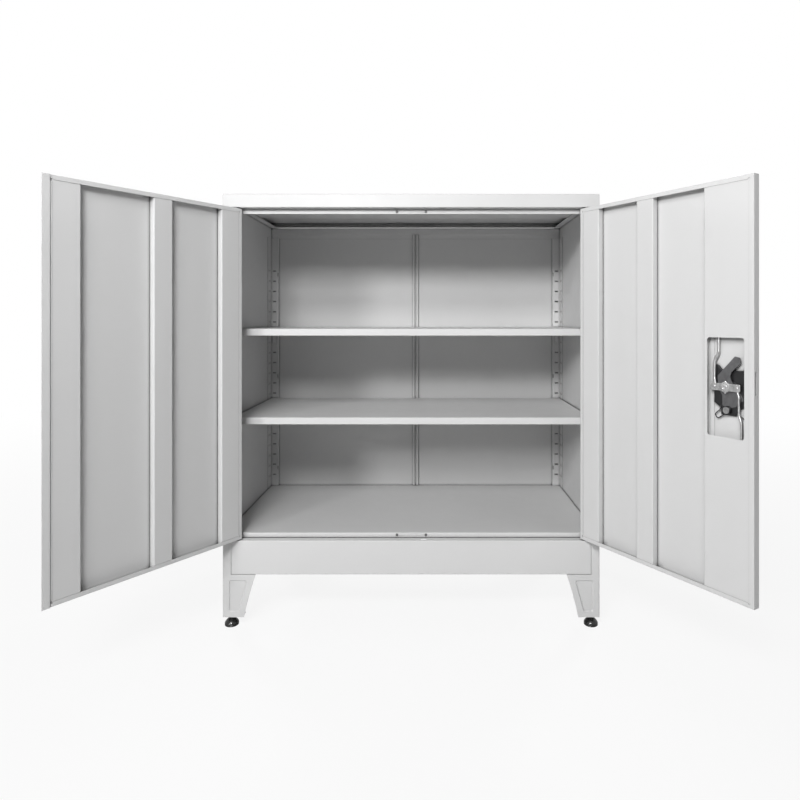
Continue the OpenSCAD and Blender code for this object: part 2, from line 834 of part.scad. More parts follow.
module hinge_pins() {
  ring_h = 1.5;
  ring_r = min(pivot_back - sheet - 0.2, pin_dia / 2 + 0.8);
  ring_rise = sheet + 1.2;
  pin_out = 8;
  module pin() {
    // Drawn upwards from the ledge's outer face; the free end points down into the door.
    translate([0, 0, -door_gap - bush_l])
      cylinder(h = door_gap + bush_l + sheet + pin_out, d = pin_dia, $fn = 48);
    translate([0, 0, ring_rise])
      cylinder(h = ring_h, r = ring_r, $fn = 48);
  }
  color(ZINC)
    in_body()
      for (side = [-1, 1])
        translate([side * pivot_x, pivot_back, 0]) {
          translate([0, 0, brow_z]) pin();
          translate([0, 0, ledge_z]) mirror([0, 0, 1]) pin();
        }
}

buffer_rise = 5;
buffer_dx = 35;
buffer_r = 3.2;
buffer_stem_r = 1.8;

module buffer_holes(z) {
  for (side = [-1, 1])
    translate([side * buffer_dx, post_d - 1, z])
      rotate([-90, 0, 0])
        cylinder(h = 4, r = buffer_stem_r + run_fit, $fn = 32);
}

module door_buffers() {
  nose = post_d - door_t - seat_gap;
  color(RUBBER)
    in_body()
      for (side = [-1, 1], z = [stop_z + buffer_rise, floor_z - buffer_rise])
        translate([side * buffer_dx, post_d, z])
          rotate([90, 0, 0]) {
            cylinder(h = nose, r = buffer_r, $fn = 32);
            translate([0, 0, -4]) cylinder(h = 4.5, r = buffer_stem_r, $fn = 32);
            translate([0, 0, -sheet - 2]) cylinder(h = 1.6, r = buffer_stem_r + 0.8, $fn = 32);
          }
}

// ---------- doors ----------
// A door's own frame: u runs from the hinge end, v from the outer face inwards and z up from the bottom.

module in_left_door(angle = left_open) {
  in_body()
    translate([-pivot_x, pivot_back, door_z])
      rotate([0, 0, -angle])
        translate([-pivot_in, -pivot_back, 0])
          children();
}

module in_right_door() {
  mirror([1, 0, 0])
    in_left_door(right_open)
      children();
}

// The outer sheet with its folded edges. The lip at the free side is free_lip_w wide.
module door_skin(free_lip_w) {
  relief_r = 2.4;
  bush_r = bush_outer_r + run_fit;
  difference() {
    translate([0, door_t, 0])
      rotate([90, 0, 0])
        folded_tray(door_w, door_h, door_t, door_sheet, fold_r,
          [door_lip_w, free_lip_w, door_lip_w, door_lip_w], true);
    for (u = [door_lip_w, door_w - free_lip_w], z = [door_lip_w, door_h - door_lip_w])
      translate([u, door_t - 2 * door_sheet, z])
        rotate([-90, 0, 0])
          cylinder(h = 3 * door_sheet, r = relief_r, $fn = 24);
    for (z = [-1, door_h - bush_l])
      translate([pivot_in, pivot_back, z])
        cylinder(h = bush_l + 1, r = bush_r, $fn = 48);
  }
}

bush_wall = 1;
bush_outer_r = pin_dia / 2 + run_fit + bush_wall - 0.05;

module door_bushes() {
  flange_r = bush_outer_r + 0.6;
  module bush(flange) {
    difference() {
      union() {
        cylinder(h = bush_l, r = bush_outer_r, $fn = 48);
        translate([0, 0, bush_l]) cylinder(h = flange, r = flange_r, $fn = 48);
      }
      translate([0, 0, -1])
        cylinder(h = bush_l + flange + 2, d = pin_dia + 2 * run_fit, $fn = 48);
    }
  }
  translate([pivot_in, pivot_back, door_h - bush_l]) bush(top_bush_flange);
  translate([pivot_in, pivot_back, bush_l]) mirror([0, 0, 1]) bush(bottom_bush_flange);
}

fold_clear = fold_r + weld_gap;             // distance of the channels from the skin's folded edges

// Upright channel between the skin and the lips, from u0 to u1, with its feet on the skin.
// A closed side has a web down to the skin; an open side ends at the skin's folded edge.
module door_channel(u0, u1, web_at_0, web_at_1) {
  half_t = door_sheet / 2;
  foot_v = door_sheet + half_t;
  foot_w = 12;
  left = web_at_0
    ? [[u0 + foot_w, foot_v], [u0 + half_t, foot_v], [u0 + half_t, stile_v]]
    : [[u0, stile_v]];
  right = web_at_1
    ? [[u1 - half_t, stile_v], [u1 - half_t, foot_v], [u1 - foot_w, foot_v]]
    : [[u1, stile_v]];
  translate([0, 0, fold_clear])
    linear_extrude(door_h - 2 * fold_clear)
      polygon(sheet_outline(concat(left, right), door_sheet, fold_r));
}

module hinge_stile() door_channel(fold_clear, hinge_stile_w, false, true);
module stiffener(at) door_channel(at, at + stiffener_w, true, true);

// Slot in a door's free edge that the latch tongue swings through.
module tongue_slot() {
  low = 11;
  high = 33;
  translate([door_w - 2 * door_sheet, tongue_v - 0.8, hub_z - low])
    cube([3 * door_sheet + strip_t, tongue_t + 1.6, low + high]);
}

module left_door_skin() {
  color(PAINT)
    in_left_door()
      difference() {
        door_skin(fold_r + 0.5);
        tongue_slot();
      }
}

module left_hinge_stile() color(PAINT) in_left_door() hinge_stile();
module left_stiffener() color(PAINT) in_left_door() stiffener(left_stiffener_at);

module left_free_stile() {
  color(PAINT)
    in_left_door()
      door_channel(door_w - free_stile_w, door_w - fold_clear, true, false);
}

// Angle on the free edge. Its outer leg lies behind the closed right door.
module left_overlap_strip() {
  leg_u = door_w + strip_t / 2;
  leg_start_v = 3;
  path = [[leg_u, leg_start_v], [leg_u, strip_v - strip_t / 2], [door_w + strip_w, strip_v - strip_t / 2]];
  color(PAINT)
    in_left_door()
      difference() {
        linear_extrude(door_h)
          polygon(sheet_outline(path, strip_t, 2 * strip_t));
        tongue_slot();
      }
}

module left_door_bushes() color(NYLON) in_left_door() door_bushes();

// Slot for a rod through the door's top or bottom edge.
module door_rod_slot(dx, z) {
  translate([hub_u + dx - rod_slot_w / 2, rod_v - rod_dia / 2 - 0.5, z])
    cube([rod_slot_w, rod_dia + 1, 6 * door_sheet]);
}

module right_door_skin() {
  color(PAINT)
    in_right_door()
      difference() {
        door_skin(door_lip_w);
        tongue_slot();
        door_rod_slot(upper_rod_dx, door_h - 3 * door_sheet);
        door_rod_slot(lower_rod_dx, -3 * door_sheet);
        in_lock() {
          lock_rod(-1, 2 * door_sheet + 1, bearing_r + 0.2);
          translate([cylinder_dx, 0, -cylinder_drop])
            lock_rod(-1, 2 * door_sheet + 1, barrel_r + 0.2);
        }
      }
}

module right_hinge_stile() color(PAINT) in_right_door() hinge_stile();
module right_stiffener() color(PAINT) in_right_door() stiffener(right_stiffener_at);

module right_lock_stile() {
  window_r = 5;
  middle_u = hub_u + 2.5;
  window = rounded_outline([
    [middle_u - window_w / 2, hub_z - window_h / 2], [middle_u + window_w / 2, hub_z - window_h / 2],
    [middle_u + window_w / 2, hub_z + window_h / 2], [middle_u - window_w / 2, hub_z + window_h / 2]
  ], window_r, 4);
  color(PAINT)
    in_right_door()
      difference() {
        door_channel(door_w - lock_stile_w, door_w - fold_clear, true, false);
        along_y(door_t - 4 * door_sheet, 4 * door_sheet) polygon(window);
      }
}

module right_door_bushes() color(NYLON) in_right_door() door_bushes();

// ---------- lock ----------
// The lock's frame: the spindle's axis at the door's outer face, x towards the free edge.

bearing_r = spindle_dia / 2 + 4;

module in_lock() {
  translate([hub_u, 0, hub_z])
    children();
}

// Round piece along v from v0 to v1.
module lock_rod(v0, v1, r) {
  translate([0, v0, 0])
    rotate([-90, 0, 0])
      cylinder(h = v1 - v0, r = r, $fn = 48);
}

// An outline of the lock at its scale.
function lock_outline(points) = [for (p = points) lock_scale * p];

// Flat piece along v from v0 to v1, with an (x, z) outline.
module lock_plate(v0, v1) {
  along_y(v0, v1 - v0) children();
}

module lock_housing() {
  outline = lock_outline([
    [-27.5, -30], [-13, -42], [-13, -53], [17, -53.5], [25, -38], [41, -36], [41, 40], [38, 46],
    [34, 44], [31.5, 32], [-11, 31], [-14.5, 34.5], [-18, 39], [-25, 43], [-27.5, 39]
  ]);
  color(BLACK)
    in_right_door()
      in_lock()
        difference() {
          union() {
            lock_plate(door_sheet, housing_v) polygon(outline);
            lock_rod(0, bearing_v, bearing_r);
          }
          lock_rod(-1, bearing_v + 1, spindle_dia / 2 + run_fit);
          translate([cylinder_dx, 0, -cylinder_drop])
            lock_rod(0, housing_v + 1, barrel_r + run_fit);
        }
}

module lock_base_plate() {
  points = lock_outline([
    [-16, -8], [-10, -16], [-9.8, -36], [6, -39.5], [16.5, -36], [24, -28], [33, -23], [22, -2], [14, 11],
    [-4, 11]
  ]);
  outline = rounded_outline(points, 2.5, 3);
  color(DARK_ZINC)
    in_right_door()
      in_lock()
        difference() {
          lock_plate(housing_v, base_plate_v) polygon(outline);
          lock_rod(housing_v - 1, base_plate_v + 1, bearing_r + 0.2);
          translate([cylinder_dx, 0, -cylinder_drop])
            lock_rod(housing_v - 1, base_plate_v + 1, barrel_r + 0.5);
        }
}

module handle_escutcheon() {
  half_plate_w = 17;
  plate_r = 12;
  high = 24;
  outline = rounded_outline([
    [-half_plate_w, -cylinder_drop - high], [half_plate_w + cylinder_dx, -cylinder_drop - high],
    [half_plate_w + cylinder_dx, high], [-half_plate_w, high]
  ], plate_r, 8);
  color(BLACK)
    in_right_door()
      in_lock()
        difference() {
          lock_plate(-escutcheon_t, 0) polygon(outline);
          lock_rod(-escutcheon_t - 1, 1, spindle_dia / 2 + run_fit);
          translate([cylinder_dx, 0, -cylinder_drop])
            lock_rod(-escutcheon_t - 1, 1, barrel_r + run_fit);
        }
}

module cylinder_barrel() {
  color(BLACK)
    in_right_door()
      in_lock()
        translate([cylinder_dx, 0, -cylinder_drop])
          difference() {
            union() {
              lock_rod(-escutcheon_t - 1, 12, barrel_r);
              lock_rod(-escutcheon_t - 2.5, -escutcheon_t, barrel_r + 2);
            }
            lock_rod(-escutcheon_t - 4, 13, plug_dia / 2 + run_fit);
          }
}

// Spring wire that keeps the cylinder in the housing.
module cylinder_clip() {
  wire = 2;
  path = lock_outline([
    [-25.8, -30.5], [-15.4, -36.5], [-12.8, -41.5], [-23.5, -52.5], [-17.8, -61], [-5.8, -53]
  ]);
  color(BLACK)
    in_right_door()
      in_lock()
        lock_plate(housing_v, housing_v + wire) polygon(sheet_outline(path, wire, 3.2, 3));
}

module key_plug() {
  slot_l = 8;
  slot_t = 1.6;
  color(ZINC)
    in_right_door()
      in_lock()
        translate([cylinder_dx, 0, -cylinder_drop])
          difference() {
            union() {
              lock_rod(-escutcheon_t - 3, 13, plug_dia / 2);
              lock_rod(12.3, 13.6, plug_dia / 2 + 0.9);
            }
            translate([-slot_t / 2, -escutcheon_t - 4, -slot_l / 2])
              cube([slot_t, 11, slot_l]);
          }
}

// Rounded disc that the lever is blended from.
module pebble(r, h) {
  edge = 0.35 * h;
  rotate([-90, 0, 0])
    rotate_extrude($fn = 32)
      polygon([
        [0, -h / 2], [r - edge, -h / 2], [r - 0.3 * edge, -h / 2 + 0.3 * edge], [r, -h / 2 + edge],
        [r, h / 2 - edge], [r - 0.3 * edge, h / 2 - 0.3 * edge], [r - edge, h / 2], [0, h / 2]
      ]);
}

module handle_grip() {
  gap_v = -escutcheon_t - seat_gap;
  hub_r = 15;
  hub_h = 16;
  lever_angle = 180 + unlock_angle;
  lever_v = gap_v - hub_h - 4;
  tip = [cos(lever_angle), sin(lever_angle)];
  color(BLACK)
    in_right_door()
      in_lock()
        difference() {
          union() {
            lock_rod(gap_v - hub_h, gap_v, hub_r);
            hull() {
              translate([0, lever_v, 0]) pebble(hub_r, 10);
              translate([0.35 * lever_l * tip.x, lever_v - 1, 0.35 * lever_l * tip.y]) pebble(9.5, 10);
            }
            hull() {
              translate([0.35 * lever_l * tip.x, lever_v - 1, 0.35 * lever_l * tip.y]) pebble(9.5, 10);
              translate([(lever_l - 8) * tip.x, lever_v, (lever_l - 8) * tip.y]) pebble(8, 9);
            }
          }
          lock_rod(gap_v - hub_h + 2, 1, spindle_dia / 2 + run_fit);
        }
}

module handle_spindle() {
  color(ZINC)
    in_right_door()
      in_lock()
        lock_rod(-escutcheon_t - 12, cam_v + cam_t, spindle_dia / 2);
}

module cam_bar() {
  ear_l = 30;
  ear_h = 7;
  outline = rounded_outline([[-ear_l, -ear_h], [ear_l, -ear_h], [ear_l, ear_h], [-ear_l, ear_h]], 2.5, 4);
  color(ZINC)
    in_right_door()
      in_lock()
        difference() {
          union() {
            lock_plate(cam_v, cam_v + cam_t) polygon(outline);
            lock_rod(cam_v, cam_v + cam_t, 10);
          }
          lock_rod(cam_v - 1, cam_v + cam_t + 1, spindle_dia / 2 + run_fit);
          for (side = [-1, 1])
            translate([side * cam_r, 0, 0])
              lock_rod(cam_v - 1, cam_v + cam_t + 1, rod_dia / 2 + run_fit);
        }
}

module latch_tongue() {
  blade = lock_outline([
    [-16, 20.6], [-15, 4], [-10, -9], [12, -9], [14.5, 7], [11, 14], [9.4, 21.5], [11.8, 28.8],
    [30, 47.6], [28.6, 57.1], [18.6, 59]
  ]);
  color(DARK_ZINC)
    in_right_door()
      in_lock()
        difference() {
          lock_plate(tongue_v, cam_v) polygon(rounded_outline(blade, 1.2, 3));
          lock_rod(tongue_v - 1, cam_v + 1, spindle_dia / 2 + run_fit);
        }
}

module hub_screw() {
  washer_v = cam_v + cam_t;
  color(ZINC)
    in_right_door()
      in_lock()
        difference() {
          union() {
            lock_rod(washer_v, washer_v + 0.8, 7.5);
            translate([0, washer_v + 2.6, 0])
              rotate([90, 0, 0])
                cylinder(h = 2, r = 5.4, $fn = 6);
          }
          lock_rod(washer_v + 1.4, washer_v + 4, 2.4);
        }
}

// Rod from its hook in the cam bar to the door's edge, drawn upwards from the ear it hangs on.
// It steps sideways by near_shift beside the ear and by far_shift beyond the lock.
module rod_shape(near_shift, far_shift, end_z) {
  r = rod_dia / 2;
  hook_bend = cam_v - rod_v - 0.1;
  knuckle_r = r + 0.06;     // small swelling where the wire is bent
  near_z = 7 * lock_scale;
  near_rise = 10 * lock_scale;
  far_z = 50 * lock_scale;
  far_rise = 14 * lock_scale;
  jog_bend = 12 * lock_scale;
  course = rounded_path([
    [0, hook_bend], [0, near_z], [near_shift, near_z + near_rise], [near_shift, far_z],
    [near_shift + far_shift, far_z + far_rise], [near_shift + far_shift, end_z]
  ], jog_bend, 1);
  translate([0, rod_end_v, 0])
    rotate([90, 0, 0])
      cylinder(h = rod_end_v - rod_v - hook_bend, r = r, $fn = 32);
  translate([0, rod_v + hook_bend, hook_bend])
    rotate([0, -90, 0])
      rotate([0, 0, 180])
        rotate_extrude(angle = 90, $fn = 48)
          translate([hook_bend, 0])
            circle(r = r, $fn = 32);
  for (i = [0:len(course) - 2]) {
    step = course[i + 1] - course[i];
    translate([course[i].x, rod_v, course[i].y])
      rotate([0, atan2(step.x, step.y), 0])
        cylinder(h = norm(step), r = r, $fn = 32);
    if (i > 0)
      translate([course[i].x, rod_v, course[i].y])
        sphere(r = knuckle_r, $fn = 32);
  }
}

module upper_rod() {
  near_shift = -1.5;
  color(ZINC)
    in_right_door()
      in_lock()
        translate([-cam_r, 0, 0])
          rod_shape(near_shift, cam_r + upper_rod_dx - near_shift, door_h - hub_z + 0.5);
}

module lower_rod() {
  near_shift = 2.7;
  color(ZINC)
    in_right_door()
      in_lock()
        translate([cam_r, 0, 0])
          mirror([0, 0, 1])
            rod_shape(near_shift, lower_rod_dx - cam_r - near_shift, hub_z + 0.5);
}

left_side_panel();
right_side_panel();
top_panel();
top_stop_rail();
panel_stiffeners();
bottom_panel();
back_panel_left();
back_panel_right();
back_centre_rib();
back_top_rail();
rear_upright_left();
rear_upright_right();
front_upright_left();
front_upright_right();
upper_shelf();
lower_shelf();
shelf_clips();
front_plinth();
rear_plinth();
side_plinth_left();
side_plinth_right();
leg_front_left();
leg_front_right();
leg_rear_left();
leg_rear_right();
base_bolts();
hinge_pins();
door_buffers();
left_door_skin();
left_hinge_stile();
left_stiffener();
left_free_stile();
left_overlap_strip();
left_door_bushes();
right_door_skin();
right_hinge_stile();
right_stiffener();
right_lock_stile();
right_door_bushes();
lock_housing();
lock_base_plate();
handle_escutcheon();
cylinder_barrel();
cylinder_clip();
handle_grip();
handle_spindle();
cam_bar();
latch_tongue();
hub_screw();
upper_rod();
lower_rod();
key_plug();
foot_pad_front_left();
foot_pad_front_right();
foot_pad_rear_left();
foot_pad_rear_right();
foot_stud_front_left();
foot_stud_front_right();
foot_stud_rear_left();
foot_stud_rear_right();
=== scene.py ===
import json

import bpy
import numpy as np
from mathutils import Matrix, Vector


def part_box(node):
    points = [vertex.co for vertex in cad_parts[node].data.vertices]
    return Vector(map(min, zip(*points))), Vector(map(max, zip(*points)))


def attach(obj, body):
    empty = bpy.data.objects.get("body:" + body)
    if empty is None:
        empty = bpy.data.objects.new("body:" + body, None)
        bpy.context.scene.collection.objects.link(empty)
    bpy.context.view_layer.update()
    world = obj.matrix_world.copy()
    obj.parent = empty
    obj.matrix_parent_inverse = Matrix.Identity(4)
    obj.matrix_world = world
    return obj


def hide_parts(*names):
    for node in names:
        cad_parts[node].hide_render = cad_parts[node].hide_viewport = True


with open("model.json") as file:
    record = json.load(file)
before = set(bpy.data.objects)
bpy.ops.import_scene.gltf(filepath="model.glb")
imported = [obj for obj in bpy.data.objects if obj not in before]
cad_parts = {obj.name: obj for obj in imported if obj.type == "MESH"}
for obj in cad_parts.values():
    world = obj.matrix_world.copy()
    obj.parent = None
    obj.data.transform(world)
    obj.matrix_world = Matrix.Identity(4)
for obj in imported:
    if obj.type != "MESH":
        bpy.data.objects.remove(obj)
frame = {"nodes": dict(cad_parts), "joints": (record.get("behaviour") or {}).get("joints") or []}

bl_info = {
    "name": "Tool Cabinet Looks",
    "version": (1, 1, 0),
    "blender": (4, 5, 0),
    "location": "3D View > Sidebar > Cabinet",
    "description": "Finishes and fine pieces for a sheet-metal tool cabinet with open doors",
    "category": "Object",
}

MM = 0.001
NODES = frame["nodes"]
JOINTS = {joint["name"]: joint for joint in frame["joints"]}
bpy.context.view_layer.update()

FEET = ("front_left", "front_right", "rear_left", "rear_right")
ZINC_PARTS = ["shelf_clips", "base_bolts", "hinge_pins", "handle_spindle", "cam_bar", "upper_rod",
              "lower_rod"]
DARK_METAL_PARTS = ["lock_base_plate", "latch_tongue"]
BLACK_PARTS = ["lock_housing", "handle_escutcheon", "cylinder_barrel"]
NYLON_PARTS = ["left_door_bushes", "right_door_bushes"]
REPLACED_PARTS = (["handle_grip", "cylinder_clip", "hub_screw", "key_plug", "door_buffers"]
                  + [f"foot_pad_{foot}" for foot in FEET] + [f"foot_stud_{foot}" for foot in FEET])
OTHER_PARTS = set(ZINC_PARTS + DARK_METAL_PARTS + BLACK_PARTS + NYLON_PARTS + REPLACED_PARTS)
SHEET_PARTS = sorted(set(NODES) - OTHER_PARTS)

FRONT_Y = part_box("front_plinth")[0].y

# The lock's frame, from the spindle's axis: u towards the door's free edge, v inwards from its outer face, z up.
HUB = np.array(JOINTS["handle_turn"]["pos_m"], dtype=float)
INWARD = np.array(JOINTS["handle_turn"]["axis"], dtype=float)
UPWARD = np.array((0.0, 0.0, 1.0))
ACROSS = np.cross(UPWARD, INWARD)
UNLOCK_ANGLE = 66.0     # turn of the handle between locked and unlocked, in degrees


# ---------- surfaces ----------

def lock_points(u, v, z):
    """Points of the lock's frame, given in millimetres, as points of the world in metres."""
    u, v, z = np.broadcast_arrays(u, v, z)
    return HUB + MM * (u[..., None] * ACROSS + v[..., None] * INWARD + z[..., None] * UPWARD)


def smooth_step(x):
    """3x^2 - 2x^3, held at 0 below 0 and at 1 above 1."""
    x = np.clip(x, 0.0, 1.0)
    return x * x * (3 - 2 * x)


def superellipse(angle, half_a, half_b, power):
    """Point at the angle on |a/half_a|^power + |b/half_b|^power = 1."""
    a = np.sign(np.cos(angle)) * np.abs(np.cos(angle)) ** (2 / power)
    b = np.sign(np.sin(angle)) * np.abs(np.sin(angle)) ** (2 / power)
    return half_a * a, half_b * b


def round_turn(count):
    """The angles of count points round a ring."""
    return np.linspace(0, 2 * np.pi, count, endpoint=False)


def along_course(points, count):
    """A course through the points by a cubic of each four neighbours (Catmull-Rom), count points to a span."""
    points = np.asarray(points, dtype=float)
    padded = np.vstack([2 * points[0] - points[1], points, 2 * points[-1] - points[-2]])
    before, start, end, after = padded[:-3], padded[1:-2], padded[2:-1], padded[3:]
    t = np.linspace(0, 1, count, endpoint=False)[None, :, None]
    before, start, end, after = (p[:, None, :] for p in (before, start, end, after))
    course = 0.5 * (2 * start + (end - before) * t + (2 * before - 5 * start + 4 * end - after) * t ** 2
                    + (3 * start - before - 3 * end + after) * t ** 3)
    return np.vstack([course.reshape(-1, points.shape[1]), points[-1:]])


def shell(rows):
    """Vertices and faces of a closed skin over rings of points, whose first and last rings are one point each.
    The faces are turned round where six times the skin's volume, a sum of a . (b x c), comes out negative."""
    count, around = rows.shape[:2]
    vertices = np.concatenate([rows[0, :1], rows[1:-1].reshape(-1, 3), rows[-1, :1]])
    ring = 1 + around * np.arange(count - 3)[:, None]
    here = np.arange(around)
    there = (here + 1) % around
    quads = np.stack([ring + here, ring + there, ring + around + there, ring + around + here], -1)
    quads = quads.reshape(-1, 4)
    last_ring = 1 + around * (count - 3)
    top = np.full(around, len(vertices) - 1)
    fans = np.concatenate([np.stack([np.zeros_like(here), 1 + there, 1 + here], -1),
                           np.stack([top, last_ring + here, last_ring + there], -1)])
    triangles = np.concatenate([quads[:, :3], quads[:, [0, 2, 3]], fans])
    a, b, c = (vertices[triangles[:, k]] - vertices[0] for k in range(3))
    if np.einsum("ij,ij->i", a, np.cross(b, c)).sum() < 0:
        quads, fans = quads[:, ::-1], fans[:, ::-1]
    return vertices, quads, fans


def piece(name, skins, material, body, stands_for=(), crease=35):
    """One mesh from closed skins, with its finish, the body it rides on and the nodes it stands for."""
    vertices, faces, start = [], [], 0
    for rows in skins:
        points, quads, fans = shell(rows)
        vertices.append(points)
        faces += (quads + start).tolist() + (fans + start).tolist()
        start += len(points)
    mesh = bpy.data.meshes.new(name)
    mesh.from_pydata(np.concatenate(vertices).tolist(), [], faces)
    mesh.polygons.foreach_set("use_smooth", np.ones(len(faces), dtype=bool))
    mesh.set_sharp_from_angle(angle=np.radians(crease))
    mesh.materials.append(material)
    made = bpy.data.objects.new(name, mesh)
    bpy.context.scene.collection.objects.link(made)
    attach(made, body)
    if stands_for:
        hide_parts(*stands_for)
    return made


def turned(profile, around, place):
    """Rings of a turned shape: each (radius, height) of the profile goes round the axis of place(a, b, h)."""
    angle = round_turn(around)[None, :]
    radius, height = np.asarray(profile, dtype=float).T[:, :, None]
    return place(radius * np.cos(angle), radius * np.sin(angle), height + 0 * angle)


def rounded_profile(points, radius, steps=5):
    """The profile with every inner corner cut to an arc-like blend: a quadratic curve that starts and ends at
    the radius from the corner, or at half its edge's length where that is shorter."""
    points = np.asarray(points, dtype=float)
    corner, before, after = points[1:-1], points[:-2], points[2:]

    def step_off(other):
        edge = other - corner
        length = np.linalg.norm(edge, axis=1, keepdims=True)
        return corner + edge / length * np.minimum(radius, 0.49 * length)

    start, end = step_off(before)[:, None], step_off(after)[:, None]
    t = np.linspace(0, 1, steps)[None, :, None]
    curve = (1 - t) ** 2 * start + 2 * t * (1 - t) * corner[:, None] + t ** 2 * end
    return np.vstack([points[:1], curve.reshape(-1, 2), points[-1:]])


def wire(course, radius, around, v):
    """A round wire along a flat course of (u, z) points at depth v, closed by half balls. A ring at a point
    stands square to the course; the half ball's rings shrink as sqrt(1 - t^2) while they run on past the end."""
    course = along_course(course, 10)
    step = np.gradient(course, axis=0)
    step /= np.linalg.norm(step, axis=1, keepdims=True)
    t = np.sin(np.linspace(0.5 * np.pi, 0, 6, endpoint=False))[:, None]
    centre = np.vstack([course[0] - radius * t * step[0], course, course[-1] + radius * t[::-1] * step[-1]])
    way = np.vstack([np.repeat(step[:1], 6, 0), step, np.repeat(step[-1:], 6, 0)])
    cap = np.sqrt(1 - t[:, 0] ** 2)
    reach = np.concatenate([cap, np.ones(len(course)), cap[::-1]]) * radius
    angle = round_turn(around)[None, :]
    side = reach[:, None] * np.cos(angle)
    u = centre[:, :1] - way[:, 1:] * side
    z = centre[:, 1:] + way[:, :1] * side
    return lock_points(u, v + reach[:, None] * np.sin(angle), z)


# ---------- materials ----------

def new_material(name):
    """An empty node material with its Principled shader, and its node tree."""
    material = bpy.data.materials.new(name)
    material.use_nodes = True
    tree = material.node_tree
    return material, tree, tree.nodes["Principled BSDF"]


def noise(tree, size, stretch=(1, 1, 1), detail=2.0, roughness=0.5):
    """Noise on Object coordinates whose features are about size metres wide, stretched along each axis."""
    place = tree.nodes.new("ShaderNodeTexCoord")
    mapping = tree.nodes.new("ShaderNodeMapping")
    mapping.inputs["Scale"].default_value = [1 / (size * s) for s in stretch]
    texture = tree.nodes.new("ShaderNodeTexNoise")
    texture.inputs["Scale"].default_value = 1.0
    texture.inputs["Detail"].default_value = detail
    texture.inputs["Roughness"].default_value = roughness
    tree.links.new(place.outputs["Object"], mapping.inputs["Vector"])
    tree.links.new(mapping.outputs["Vector"], texture.inputs["Vector"])
    return texture.outputs["Fac"]


def remapped(tree, value, low, high, from_low=0.3, from_high=0.7):
    """The value moved from from_low..from_high, which is noise's usual range, to low..high and held there."""
    node = tree.nodes.new("ShaderNodeMapRange")
    node.inputs["From Min"].default_value = from_low
    node.inputs["From Max"].default_value = from_high
    node.inputs["To Min"].default_value = low
    node.inputs["To Max"].default_value = high
    tree.links.new(value, node.inputs["Value"])
    return node.outputs["Result"]


def two_tone(tree, value, dark, light):
    """A colour between dark and light, picked by the value."""
    ramp = tree.nodes.new("ShaderNodeValToRGB")
    ramp.color_ramp.elements[0].position = 0.3
    ramp.color_ramp.elements[0].color = (*dark, 1)
    ramp.color_ramp.elements[1].position = 0.7
    ramp.color_ramp.elements[1].color = (*light, 1)
    tree.links.new(value, ramp.inputs["Fac"])
    return ramp.outputs["Color"]


def bumps(tree, shader, layers):
    """Chains bump layers of (height, distance in metres) into the shader's normal."""
    normal = None
    for height, distance in layers:
        node = tree.nodes.new("ShaderNodeBump")
        node.inputs["Distance"].default_value = distance
        node.inputs["Strength"].default_value = 1.0
        tree.links.new(height, node.inputs["Height"])
        if normal is not None:
            tree.links.new(normal, node.inputs["Normal"])
        normal = node.outputs["Normal"]
    tree.links.new(normal, shader.inputs["Normal"])


def scaled(color, factor):
    """The colour made darker or lighter by a factor."""
    return tuple(min(1.0, c * factor) for c in color[:3])


def painted_crevice_shade(tree, color, reach, darkest, from_low, from_high):
    """The colour darkened where other surfaces close in within reach metres. This is painted shade in joints,
    bends and slots, where less light reaches. It keeps the share darkest where the open share of the surroundings
    is from_low or less, and all of itself from from_high."""
    # painted shade: the ambient occlusion below darkens the colour itself, in joints, bends and slots
    closeness = tree.nodes.new("ShaderNodeAmbientOcclusion")
    closeness.samples = 4
    closeness.inputs["Distance"].default_value = reach
    painted_shade = tree.nodes.new("ShaderNodeMix")
    painted_shade.data_type = "RGBA"
    painted_shade.blend_type = "MULTIPLY"
    painted_shade.inputs["Factor"].default_value = 1.0
    tree.links.new(color, painted_shade.inputs["A"])
    shade = remapped(tree, closeness.outputs["AO"], darkest, 1.0, from_low, from_high)
    tree.links.new(shade, painted_shade.inputs["B"])
    return painted_shade.outputs["Result"]


def powder_coat(finish):
    """Satin powder coat: fine orange peel, faint long waves of the thin sheet, a slightly uneven gloss and painted
    shade in its joints and slots. The second painted shade reaches only into channels that are nearly closed, and
    there it is near black."""
    # painted shade: the two calls below darken the paint colour in joints and slots, then to near black inside
    # nearly closed channels
    channel_reach, channel_painted_shade = 3 * finish.crevice_reach, 0.05
    material, tree, shader = new_material("powder_coat")
    tone = noise(tree, 0.18, (1, 1, 3), detail=3.0)
    color = two_tone(tree, tone, scaled(finish.paint_color, 0.985), scaled(finish.paint_color, 1.01))
    color = painted_crevice_shade(tree, color, finish.crevice_reach, finish.crevice_painted_shade, 0.25, 0.85)
    color = painted_crevice_shade(tree, color, channel_reach, channel_painted_shade, 0.1, 0.42)
    tree.links.new(color, shader.inputs["Base Color"])
    patchy = noise(tree, 0.03, detail=4.0)
    rough = remapped(tree, patchy, finish.paint_roughness - 0.04, finish.paint_roughness + 0.05)
    tree.links.new(rough, shader.inputs["Roughness"])
    shader.inputs["Specular IOR Level"].default_value = 0.3
    waves = noise(tree, 0.12, (1, 1, 4), detail=1.0)
    peel = noise(tree, finish.grain_size, detail=2.0)
    bumps(tree, shader, [(waves, 0.0004), (peel, 0.00004)])
    return material


def plated_steel(name, color, roughness):
    """Plated steel: metal with fine drawn scratches and cloudy patches."""
    material, tree, shader = new_material(name)
    shader.inputs["Metallic"].default_value = 1.0
    clouds = noise(tree, 0.008, detail=4.0)
    tone = two_tone(tree, clouds, scaled(color, 0.82), scaled(color, 1.08))
    tree.links.new(tone, shader.inputs["Base Color"])
    scratches = noise(tree, 0.0006, (1, 1, 14), detail=2.0)
    tree.links.new(remapped(tree, scratches, roughness - 0.08, roughness + 0.12), shader.inputs["Roughness"])
    bumps(tree, shader, [(scratches, 0.00002)])
    return material


